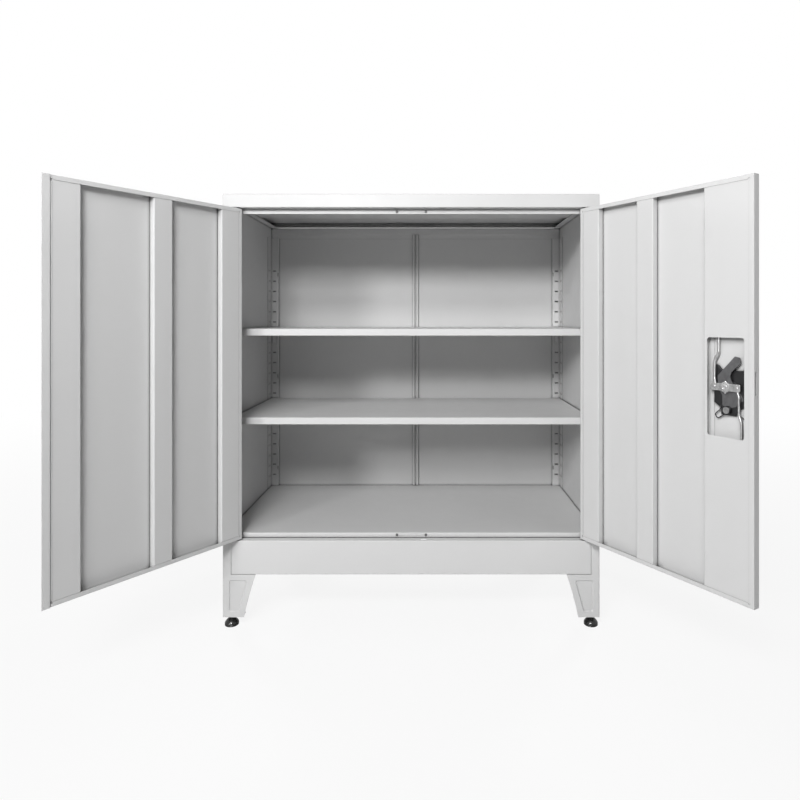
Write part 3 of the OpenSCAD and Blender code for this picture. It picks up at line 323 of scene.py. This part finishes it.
def moulded(name, color, roughness, grain_size=0.0005):
    """Moulded plastic or rubber: a soft mottle of the colour and a fine spark-eroded grain."""
    material, tree, shader = new_material(name)
    tone = noise(tree, 0.01, detail=2.0)
    tree.links.new(two_tone(tree, tone, scaled(color, 0.85), scaled(color, 1.2)), shader.inputs["Base Color"])
    grain = noise(tree, grain_size, detail=3.0)
    tree.links.new(remapped(tree, grain, roughness - 0.07, roughness + 0.09), shader.inputs["Roughness"])
    bumps(tree, shader, [(grain, 0.00003)])
    return material


def give(material, names):
    """Puts the material on the named CAD nodes."""
    for name in names:
        slots = NODES[name].data.materials
        slots.clear()
        slots.append(material)


def soften_edges(names, width):
    """Welds a node's loose triangles and rounds its sharp edges by width metres, as paint or rolling does."""
    for name in names:
        node = NODES[name]
        weld = node.modifiers.new("weld", "WELD")
        weld.merge_threshold = 0.00001
        bevel = node.modifiers.new("edge", "BEVEL")
        bevel.width = width
        bevel.segments = 2
        bevel.limit_method = "ANGLE"
        bevel.angle_limit = np.radians(35)
        bevel.use_clamp_overlap = True
        bevel.harden_normals = True
        shading = node.modifiers.new("shading", "WEIGHTED_NORMAL")
        shading.keep_sharp = False


# ---------- settings ----------

class CabinetFinish(bpy.types.PropertyGroup):
    paint_color: bpy.props.FloatVectorProperty(
        name="Paint", description="Colour of the powder coat", subtype="COLOR", size=3,
        default=(0.62, 0.62, 0.62), min=0, max=1)
    paint_roughness: bpy.props.FloatProperty(
        name="Paint roughness", description="Mean roughness of the powder coat", default=0.42, min=0.1,
        max=0.9)
    grain_size: bpy.props.FloatProperty(
        name="Orange peel", description="Width of one dimple of the powder coat", default=0.0014, min=0.0005,
        max=0.01, subtype="DISTANCE")
    zinc_color: bpy.props.FloatVectorProperty(
        name="Zinc", description="Colour of the zinc plate", subtype="COLOR", size=3, default=(0.7, 0.7, 0.7),
        min=0, max=1)
    dark_zinc_color: bpy.props.FloatVectorProperty(
        name="Dark zinc", description="Colour of the dull dark plate", subtype="COLOR", size=3,
        default=(0.2, 0.2, 0.205), min=0, max=1)
    black_color: bpy.props.FloatVectorProperty(
        name="Black plastic", description="Colour of the moulded pieces", subtype="COLOR", size=3,
        default=(0.012, 0.012, 0.013), min=0, max=1)
    rubber_color: bpy.props.FloatVectorProperty(
        name="Rubber", description="Colour of the feet", subtype="COLOR", size=3,
        default=(0.006, 0.006, 0.006), min=0, max=1)
    buffer_color: bpy.props.FloatVectorProperty(
        name="Buffers", description="Colour of the door buffers", subtype="COLOR", size=3,
        default=(0.1, 0.1, 0.1), min=0, max=1)
    # painted shade: the two settings below set how far and how dark shade is painted into the paint in joints and
    # slots
    crevice_reach: bpy.props.FloatProperty(
        name="Crevice reach", description="How far round a joint or in a slot the paint is darker",
        default=0.006, min=0.001, max=0.02, subtype="DISTANCE")
    crevice_painted_shade: bpy.props.FloatProperty(
        name="Crevice shade", description="Share of its brightness that the paint keeps deep in a joint",
        default=0.12, min=0, max=1)
    sheet_edge: bpy.props.FloatProperty(
        name="Sheet edge", description="Rounding of the painted sheet's edges", default=0.0003, min=0.0001,
        max=0.001, subtype="DISTANCE")


class CabinetFittings(bpy.types.PropertyGroup):
    lever_length: bpy.props.FloatProperty(
        name="Lever length", description="From the spindle's axis to the lever's tip", default=0.096,
        min=0.08, max=0.11, subtype="DISTANCE")
    lever_width: bpy.props.FloatProperty(
        name="Lever width", description="Width of the lever near its tip", default=0.0165, min=0.012,
        max=0.02, subtype="DISTANCE")
    wire_width: bpy.props.FloatProperty(
        name="Spring wire", description="Diameter of the lock's spring wire", default=0.0019, min=0.001,
        max=0.003, subtype="DISTANCE")
    thread_pitch: bpy.props.FloatProperty(
        name="Thread pitch", description="Rise of the foot's thread in one turn", default=0.00125, min=0.001,
        max=0.002, subtype="DISTANCE")
    pad_grooves: bpy.props.IntProperty(
        name="Pad grooves", description="Grip grooves round a foot's pad", default=3, min=0, max=6)


class CabinetStage(bpy.types.PropertyGroup):
    camera_x: bpy.props.FloatProperty(
        name="Camera across", description="Camera's distance to the right of the cabinet's middle",
        default=0.045, subtype="DISTANCE")
    camera_distance: bpy.props.FloatProperty(
        name="Camera distance", description="Camera's distance from the cabinet's front plane",
        default=1.465, min=0.5, subtype="DISTANCE")
    camera_height: bpy.props.FloatProperty(
        name="Camera height", description="Camera's height above the floor", default=0.736,
        subtype="DISTANCE")
    lens: bpy.props.FloatProperty(
        name="Lens", description="Focal length on a 36 mm wide sensor, in millimetres", default=27.63, min=10)
    left_power: bpy.props.FloatProperty(
        name="Left light", description="Power of the far softbox on the left, in watts", default=90.0, min=0)
    front_power: bpy.props.FloatProperty(
        name="Front light", description="Power of the small softbox near the cabinet, in watts",
        default=16.5, min=0)
    high_power: bpy.props.FloatProperty(
        name="High light", description="Power of the long softbox above the camera, in watts", default=60.0,
        min=0)
    rear_power: bpy.props.FloatProperty(
        name="Rear lights", description="Power of each of the two softboxes behind the cabinet, in watts",
        default=120.0, min=0)
    world_level: bpy.props.FloatProperty(
        name="Room light", description="Brightness of the light from all round", default=0.01, min=0)
    floor_color: bpy.props.FloatVectorProperty(
        name="Floor", description="Colour of the floor", subtype="COLOR", size=3, default=(0.7, 0.7, 0.7),
        min=0, max=1)


# ---------- operators ----------

class CABINET_OT_sheet_parts(bpy.types.Operator):
    """Powder-coat the folded sheet parts and soften their edges"""
    bl_idname = "cabinet.sheet_parts"
    bl_label = "Sheet parts"

    def execute(self, context):
        finish = context.scene.cabinet_finish
        give(powder_coat(finish), SHEET_PARTS)
        soften_edges(SHEET_PARTS, finish.sheet_edge)
        return {"FINISHED"}


class CABINET_OT_metal_parts(bpy.types.Operator):
    """Plate the rods, bolts, pins and the lock's metal parts"""
    bl_idname = "cabinet.metal_parts"
    bl_label = "Metal parts"

    def execute(self, context):
        finish = context.scene.cabinet_finish
        give(plated_steel("zinc_plate", finish.zinc_color, 0.3), ZINC_PARTS)
        give(plated_steel("dark_plate", finish.dark_zinc_color, 0.42), DARK_METAL_PARTS)
        soften_edges(ZINC_PARTS + DARK_METAL_PARTS, 0.0004)
        return {"FINISHED"}


class CABINET_OT_black_parts(bpy.types.Operator):
    """Mould the lock's housing, the handle's plate and the key cylinder in black and the bushes in nylon"""
    bl_idname = "cabinet.black_parts"
    bl_label = "Black and nylon parts"

    def execute(self, context):
        finish = context.scene.cabinet_finish
        give(moulded("moulded_black", finish.black_color, 0.38), BLACK_PARTS)
        give(moulded("milky_nylon", (0.8, 0.79, 0.75), 0.48), NYLON_PARTS)
        soften_edges(BLACK_PARTS + NYLON_PARTS, 0.0005)
        return {"FINISHED"}


def lever_rows(length, end_half):
    """Rings of the lever, where a runs along it from behind the hub to its tip. Its half width is the hub's
    circle, which narrows by a smooth step to the grip and ends in a half circle. Its half thickness falls with the
    half width as a circle does, and its section is a superellipse. It bows outwards by a sine and hangs at the
    unlocked angle."""
    hub_half, half_thick, bow = 15.0, 5.0, 1.2
    stand_off = 25.9
    a = -hub_half + (length + hub_half) * 0.5 * (1 - np.cos(np.linspace(0, np.pi, 72)))
    neck = hub_half + (end_half + 1.0 - hub_half) * smooth_step(a / (0.42 * length))
    grip = neck - 1.0 * smooth_step((a - 0.42 * length) / (0.5 * length))
    behind = np.sqrt(np.clip(hub_half ** 2 - np.minimum(a, 0) ** 2, 0, None))
    past = np.sqrt(np.clip(end_half ** 2 - np.maximum(a - (length - end_half), 0) ** 2, 0, None)) / end_half
    full = np.where(a < 0, hub_half, grip)
    half_width = np.where(a < 0, behind, grip * past)
    share = half_width / full
    thick = half_thick * np.sqrt(1 - (1 - share) ** 2) * (1 - 0.1 * smooth_step(a / length))
    angle = round_turn(40)[None, :]
    across, depth = superellipse(angle, half_width[:, None], thick[:, None], 2.7)
    sag = -stand_off - bow * np.sin(np.pi * np.clip(a / length, 0, 1))[:, None]
    turn = np.radians(180 + UNLOCK_ANGLE)
    u = a[:, None] * np.cos(turn) - across * np.sin(turn)
    z = a[:, None] * np.sin(turn) + across * np.cos(turn)
    return lock_points(u, sag + depth, z)


class CABINET_OT_lever(bpy.types.Operator):
    """Build the lever handle: a turned collar with a groove and a lever of soft section"""
    bl_idname = "cabinet.lever"
    bl_label = "Lever"

    def execute(self, context):
        sizes = context.scene.cabinet_fittings
        collar = rounded_profile([(0, -6.4), (15, -6.4), (15, -9.2), (14.2, -9.6), (14.2, -10.6), (15, -11),
                                  (14.4, -24), (0, -24)], 1.0)
        rows = turned(collar, 64, lambda a, b, h: lock_points(a, h, b))
        material = moulded("lever_black", context.scene.cabinet_finish.black_color, 0.3)
        piece("lever", [rows, lever_rows(sizes.lever_length / MM, 0.5 * sizes.lever_width / MM)], material,
              "handle", ["handle_grip"])
        return {"FINISHED"}


def nut_rows():
    """Rings of the flanged hub nut, each a (radius, height, hexagon's share). The radius is that of a hexagon,
    r / cos(angle to the nearest flat), by its share, and a circle's by the rest. Its middle sinks as a socket."""
    angle = round_turn(72)[None, :]
    flat = 1 / np.cos((angle + np.pi / 6) % (np.pi / 3) - np.pi / 6)
    spec = np.array([[0, 14.25, 0], [7.6, 14.25, 0], [7.8, 14.5, 0], [7.8, 14.9, 0], [7.5, 15.1, 0],
                     [5.6, 15.2, 0.2], [4.75, 15.3, 1], [4.75, 16.4, 1], [4.7, 16.7, 0.6], [4.5, 17.0, 0],
                     [2.9, 17.1, 0], [2.5, 17.0, 0.8], [2.3, 15.6, 1], [1.0, 15.4, 0.5], [0, 15.4, 0]])
    radius = spec[:, :1] * (1 + spec[:, 2:] * (flat - 1))
    return lock_points(radius * np.cos(angle), spec[:, 1:2], radius * np.sin(angle))


def tab_rows():
    """Rings of the upright tab washer: its half width is the washer's circle near the middle and the tab's
    beyond, and its section is a thin superellipse."""
    half_long, half_tab, disc_radius, thick = 12.2, 2.4, 8.6, 0.45
    shift, depth_v = 0.9, 14.75
    a = -half_long * np.cos(np.linspace(0, np.pi, 40))
    disc = np.sqrt(np.clip(disc_radius ** 2 - a ** 2, 0, None))
    half = np.maximum(half_tab * np.sqrt(np.clip(1 - (a / half_long) ** 8, 0, None)), disc)
    angle = round_turn(24)[None, :]
    across, depth = superellipse(angle, half[:, None], thick * np.sign(half)[:, None], 4)
    depth[[0, -1]] = 0
    return lock_points(across + shift, depth_v + depth, a[:, None] + 0 * across)


class CABINET_OT_hub_fastener(bpy.types.Operator):
    """Build the nut and the tab washer that hold the cam bar on the spindle"""
    bl_idname = "cabinet.hub_fastener"
    bl_label = "Hub fastener"

    def execute(self, context):
        bright = plated_steel("bright_zinc", scaled(context.scene.cabinet_finish.zinc_color, 1.3), 0.2)
        piece("hub_nut", [nut_rows()], bright, "handle", ["hub_screw"], crease=24)
        piece("hub_tab_washer", [tab_rows()], bright, "handle")
        return {"FINISHED"}


class CABINET_OT_spring_wire(bpy.types.Operator):
    """Bend the two legs of the lock's black spring wire"""
    bl_idname = "cabinet.spring_wire"
    bl_label = "Spring wire"

    def execute(self, context):
        width = context.scene.cabinet_fittings.wire_width / MM
        housing_face = 5.7
        v = housing_face + 0.5 * width
        left_leg = [(-26, -30.5), (-20.5, -33.6), (-15.4, -36.8), (-13.3, -40.6), (-15.6, -45.2),
                    (-20.6, -49.4), (-23.9, -53.6), (-22.2, -58.3), (-17.8, -60.4), (-12.3, -57.2),
                    (-6.2, -52.8)]
        right_leg = [(13, -51.8), (18.5, -50.4), (24, -50.2), (29.6, -54.1), (35.6, -59.3), (40.6, -62.6)]
        rows = [wire(course, 0.5 * width, 14, v) for course in (left_leg, right_leg)]
        material = moulded("black_wire", context.scene.cabinet_finish.black_color, 0.3)
        piece("lock_spring_wire", rows, material, "right_door", ["cylinder_clip"])
        return {"FINISHED"}


def plug_rows(u0, z0):
    """Rings of the key plug, a turned pin whose outer end sinks by the key's slot and whose inner end sinks by
    a screwdriver slot. A point's height falls by a smooth step of its distance from the slot's middle line."""
    out_v, in_v, reach = -9.0, 13.6, 5.5
    radii = np.array([0, *np.linspace(0.3, 5.2, 14), 5.45])
    body = np.array([[reach, out_v + 0.3], [reach, 12.3], [6.2, 12.35], [6.4, 12.6], [6.4, 13.2]])
    inner = np.array([6.2, *np.linspace(5.9, 0.3, 16), 0])
    radius = np.concatenate([radii, body[:, 0], inner])[:, None]
    height = np.concatenate([np.full(len(radii), out_v), body[:, 1], np.full(len(inner), in_v)])[:, None]
    angle = round_turn(96)[None, :]
    a, b = radius * np.cos(angle), radius * np.sin(angle)
    key_slot = smooth_step((0.8 - np.abs(a)) / 0.25) * smooth_step((4.0 - np.abs(b)) / 0.3)
    tool_slot = smooth_step((0.65 - np.abs(a * 0.94 - b * 0.34)) / 0.3) * smooth_step((6.1 - radius) / 0.2)
    outer_face = np.arange(len(radius))[:, None] < len(radii)
    inner_face = np.arange(len(radius))[:, None] >= len(radii) + len(body)
    depth = height + 4.0 * key_slot * outer_face - 0.9 * tool_slot * inner_face
    return lock_points(a + u0, depth, b + z0)


class CABINET_OT_key_plug(bpy.types.Operator):
    """Build the key plug with its two slots"""
    bl_idname = "cabinet.key_plug"
    bl_label = "Key plug"

    def execute(self, context):
        shift = (np.array(JOINTS["key_turn"]["pos_m"]) - HUB) / MM
        rows = plug_rows(shift @ ACROSS, shift @ UPWARD)
        material = plated_steel("plug_zinc", scaled(context.scene.cabinet_finish.zinc_color, 0.75), 0.34)
        piece("key_plug_turned", [rows], material, "key", ["key_plug"], crease=40)
        return {"FINISHED"}


def pad_profile(grooves):
    """Half section of a foot's pad, closed at the axis. Its rim carries shallow cosine grooves, and above it the
    radius falls by w^1.5 over the height's share w, so that the pad is a blunt cone."""
    radius, neck_radius, rim_low, rim_high, cone_height = 16.5, 6.6, 1.6, 6.4, 12.0
    groove_depth = 0.44
    rim = np.linspace(rim_low, rim_high, 32)
    turns = grooves * (rim - rim_low) / (rim_high - rim_low)
    side = np.stack([radius - 0.5 * groove_depth * (1 - np.cos(2 * np.pi * turns)), rim], -1)
    share = np.linspace(0.03, 1, 18)
    cone_radius = neck_radius + (radius - neck_radius) * (1 - share ** 1.5)
    dome = np.stack([cone_radius, rim_high + cone_height * share], -1)
    foot = rounded_profile([(0, 0), (14.6, 0), (radius, 1.5)], 1.5)
    neck = [(6.5, 18.6), (6.4, 19.6), (6.0, 20.0), (4.3, 20.0), (4.05, 19.7), (4.05, 6.0), (0, 6.0)]
    return np.vstack([foot[:-1], side, dome, neck])


def thread_rows(start, end, pitch, place):
    """Rings of a threaded stud: the radius falls from its crest by a triangle wave of height / pitch minus the
    angle's share of a turn, and the ends are chamfered over their last millimetre."""
    crest, depth, lead = 4.0, 0.6 * pitch, 1.0
    height = np.linspace(start, end, int((end - start) / (pitch / 6)))[:, None]
    angle = round_turn(36)[None, :]
    wave = np.abs(2 * ((height / pitch - angle / (2 * np.pi)) % 1) - 1)
    from_end = np.minimum(height - start, end - height)
    radius = crest - depth * wave - 0.6 * (1 - np.clip(from_end / lead, 0, 1))
    rows = place(radius * np.cos(angle), radius * np.sin(angle), height)
    low = place(np.zeros_like(angle), np.zeros_like(angle), np.full_like(angle, start))
    high = place(np.zeros_like(angle), np.zeros_like(angle), np.full_like(angle, end))
    return np.concatenate([low, rows, high])


class CABINET_OT_feet(bpy.types.Operator):
    """Build the domed rubber pads and the threaded studs of the four feet"""
    bl_idname = "cabinet.feet"
    bl_label = "Feet"

    def execute(self, context):
        sizes = context.scene.cabinet_fittings
        finish = context.scene.cabinet_finish
        rubber = moulded("foot_rubber", finish.rubber_color, 0.2, 0.0012)
        zinc = plated_steel("stud_zinc", finish.zinc_color, 0.32)
        pitch = sizes.thread_pitch / MM
        profile = pad_profile(sizes.pad_grooves)
        for foot in FEET:
            low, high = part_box(f"foot_pad_{foot}")
            x, y, z = 0.5 * (low.x + high.x), 0.5 * (low.y + high.y), low.z

            def upright(a, b, h):
                return np.array((x, y, z)) + MM * np.stack(np.broadcast_arrays(a, b, h), -1)

            piece(f"rubber_pad_{foot}", [turned(profile, 64, upright)], rubber, f"foot_{foot}",
                  [f"foot_pad_{foot}"])
            stud_low, stud_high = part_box(f"foot_stud_{foot}")
            start, end = (stud_low.z - z) / MM, (stud_high.z - z) / MM
            thread = thread_rows(start, end, pitch, upright)
            piece(f"threaded_stud_{foot}", [thread], zinc, f"foot_{foot}", [f"foot_stud_{foot}"])
        return {"FINISHED"}


class CABINET_OT_buffers(bpy.types.Operator):
    """Build the four small domed buffers that the doors close against"""
    bl_idname = "cabinet.buffers"
    bl_label = "Buffers"

    def execute(self, context):
        low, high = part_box("door_buffers")
        head = 3.2
        deep = (high.y - low.y) / MM
        profile = rounded_profile([(0, 0), (head - 0.4, 0.1), (head, 1.7), (1.8, 1.75), (1.8, deep - 2.2),
                                   (2.6, deep - 2), (1.6, deep), (0, deep)], 0.7)
        middle = 0.5 * (low.x + high.x)
        spread = 0.5 * (high.x - low.x) - head * MM
        skins = []
        for x in (middle - spread, middle + spread):
            for z in (low.z + head * MM, high.z - head * MM):
                def facing(a, b, h, x=x, z=z):
                    return np.array((x, low.y, z)) + MM * np.stack(np.broadcast_arrays(a, h, b), -1)
                skins.append(turned(profile, 32, facing))
        rubber = moulded("buffer_rubber", context.scene.cabinet_finish.buffer_color, 0.45, 0.0008)
        piece("domed_buffers", skins, rubber, "cabinet", ["door_buffers"])
        return {"FINISHED"}


def area_light(name, place, target, width, height, power):
    """A rectangular lamp at place that points at target."""
    data = bpy.data.lights.new(name, "AREA")
    data.shape = "RECTANGLE"
    data.size = width
    data.size_y = height
    data.energy = power
    lamp = bpy.data.objects.new(name, data)
    lamp.location = place
    lamp.rotation_euler = (Vector(target) - Vector(place)).to_track_quat("-Z", "Y").to_euler()
    bpy.context.scene.collection.objects.link(lamp)
    return lamp


def math_node(tree, operation, *values):
    """A Math node of the operation on values that are sockets or numbers."""
    node = tree.nodes.new("ShaderNodeMath")
    node.operation = operation
    for k, value in enumerate(values):
        if isinstance(value, (int, float)):
            node.inputs[k].default_value = value
        else:
            tree.links.new(value, node.inputs[k])
    return node.outputs[0]


def studio_floor(color):
    """Pale matt floor that the camera sees mixed with plain white. The white's share grows with the distance
    from the cabinet until the floor meets the backdrop without a line."""
    near, far, near_share = 1.0, 4.5, 0.88
    material, tree, shader = new_material("studio_floor")
    shader.inputs["Base Color"].default_value = (*color, 1)
    shader.inputs["Roughness"].default_value = 0.9
    shader.inputs["Specular IOR Level"].default_value = 0.1
    place = tree.nodes.new("ShaderNodeTexCoord")
    length = tree.nodes.new("ShaderNodeVectorMath")
    length.operation = "LENGTH"
    tree.links.new(place.outputs["Object"], length.inputs[0])
    share = remapped(tree, length.outputs["Value"], near_share, 1.0, near, far)
    path = tree.nodes.new("ShaderNodeLightPath")
    glow = tree.nodes.new("ShaderNodeEmission")
    mix = tree.nodes.new("ShaderNodeMixShader")
    tree.links.new(math_node(tree, "MULTIPLY", path.outputs["Is Camera Ray"], share), mix.inputs["Fac"])
    tree.links.new(shader.outputs["BSDF"], mix.inputs[1])
    tree.links.new(glow.outputs["Emission"], mix.inputs[2])
    tree.links.new(mix.outputs[0], tree.nodes["Material Output"].inputs["Surface"])
    return material


def studio_world(level):
    """A world that is white where the camera, a reflection or glass sees it, and lights with the level
    elsewhere."""
    world = bpy.data.worlds.new("studio")
    world.use_nodes = True
    tree = world.node_tree
    path = tree.nodes.new("ShaderNodeLightPath")
    seen = math_node(tree, "MAXIMUM", path.outputs["Is Camera Ray"], path.outputs["Is Glossy Ray"])
    seen = math_node(tree, "MAXIMUM", seen, path.outputs["Is Transmission Ray"])
    strength = remapped(tree, seen, level, 1.0, 0.0, 1.0)
    tree.links.new(strength, tree.nodes["Background"].inputs["Strength"])
    tree.nodes["Background"].inputs["Color"].default_value = (1, 1, 1, 1)
    return world


class CABINET_OT_stage(bpy.types.Operator):
    """Set up the pale floor, the studio light and the camera"""
    bl_idname = "cabinet.stage"
    bl_label = "Stage"

    def execute(self, context):
        scene = context.scene
        settings = scene.cabinet_stage
        half = 12.0
        corners = [(-half, -half, 0), (half, -half, 0), (half, half, 0), (-half, half, 0)]
        mesh = bpy.data.meshes.new("floor")
        mesh.from_pydata(corners, [], [(0, 1, 2, 3)])
        mesh.materials.append(studio_floor(settings.floor_color))
        floor = bpy.data.objects.new("floor", mesh)
        scene.collection.objects.link(floor)
        scene.world = studio_world(settings.world_level)

        door_middle, back_middle = (0, FRONT_Y, 0.7), (0, FRONT_Y + 0.4, 0.6)
        for name, x, ahead, height, target, size, power in (
                ("left_softbox", -3.0, -4.5, 2.3, door_middle, (0.9, 0.6), settings.left_power),
                ("front_softbox", -0.35, -1.6, 1.45, door_middle, (0.5, 0.3), settings.front_power),
                ("high_softbox", -0.7, -3.2, 2.8, door_middle, (1.6, 0.5), settings.high_power),
                ("rear_left_softbox", -3.4, 4.3, 2.4, back_middle, (1.2, 0.8), settings.rear_power),
                ("rear_right_softbox", 3.4, 4.3, 2.4, back_middle, (1.2, 0.8), settings.rear_power)):
            area_light(name, (x, FRONT_Y + ahead, height), target, *size, power)

        data = bpy.data.cameras.new("camera")
        data.sensor_width = 36
        data.lens = settings.lens
        data.shift_x = -0.0375
        data.shift_y = -0.1006
        camera = bpy.data.objects.new("camera", data)
        camera.location = (settings.camera_x, FRONT_Y - settings.camera_distance, settings.camera_height)
        camera.rotation_euler = (np.radians(90), 0, 0)
        scene.collection.objects.link(camera)
        scene.camera = camera
        scene.view_settings.view_transform = "Standard"
        return {"FINISHED"}


class CABINET_PT_looks(bpy.types.Panel):
    """Lists the cabinet's pieces and settings"""
    bl_idname = "CABINET_PT_looks"
    bl_label = "Cabinet"
    bl_space_type = "VIEW_3D"
    bl_region_type = "UI"
    bl_category = "Cabinet"

    def draw(self, context):
        layout = self.layout
        scene = context.scene
        for group in (scene.cabinet_finish, scene.cabinet_fittings, scene.cabinet_stage):
            box = layout.box()
            for name in group.__annotations__:
                box.prop(group, name)
        for operator in OPERATORS:
            layout.operator(operator.bl_idname)


OPERATORS = (CABINET_OT_sheet_parts, CABINET_OT_metal_parts, CABINET_OT_black_parts, CABINET_OT_lever,
             CABINET_OT_hub_fastener, CABINET_OT_spring_wire, CABINET_OT_key_plug, CABINET_OT_feet,
             CABINET_OT_buffers, CABINET_OT_stage)
CLASSES = (CabinetFinish, CabinetFittings, CabinetStage, *OPERATORS, CABINET_PT_looks)


def register():
    for cls in CLASSES:
        bpy.utils.register_class(cls)
    bpy.types.Scene.cabinet_finish = bpy.props.PointerProperty(type=CabinetFinish)
    bpy.types.Scene.cabinet_fittings = bpy.props.PointerProperty(type=CabinetFittings)
    bpy.types.Scene.cabinet_stage = bpy.props.PointerProperty(type=CabinetStage)


def unregister():
    del bpy.types.Scene.cabinet_stage
    del bpy.types.Scene.cabinet_fittings
    del bpy.types.Scene.cabinet_finish
    for cls in reversed(CLASSES):
        bpy.utils.unregister_class(cls)


def main():
    register()
    bpy.ops.cabinet.sheet_parts()
    bpy.ops.cabinet.metal_parts()
    bpy.ops.cabinet.black_parts()
    bpy.ops.cabinet.lever()
    bpy.ops.cabinet.hub_fastener()
    bpy.ops.cabinet.spring_wire()
    bpy.ops.cabinet.key_plug()
    bpy.ops.cabinet.feet()
    bpy.ops.cabinet.buffers()
    bpy.ops.cabinet.stage()


if __name__ == "__main__":
    main()
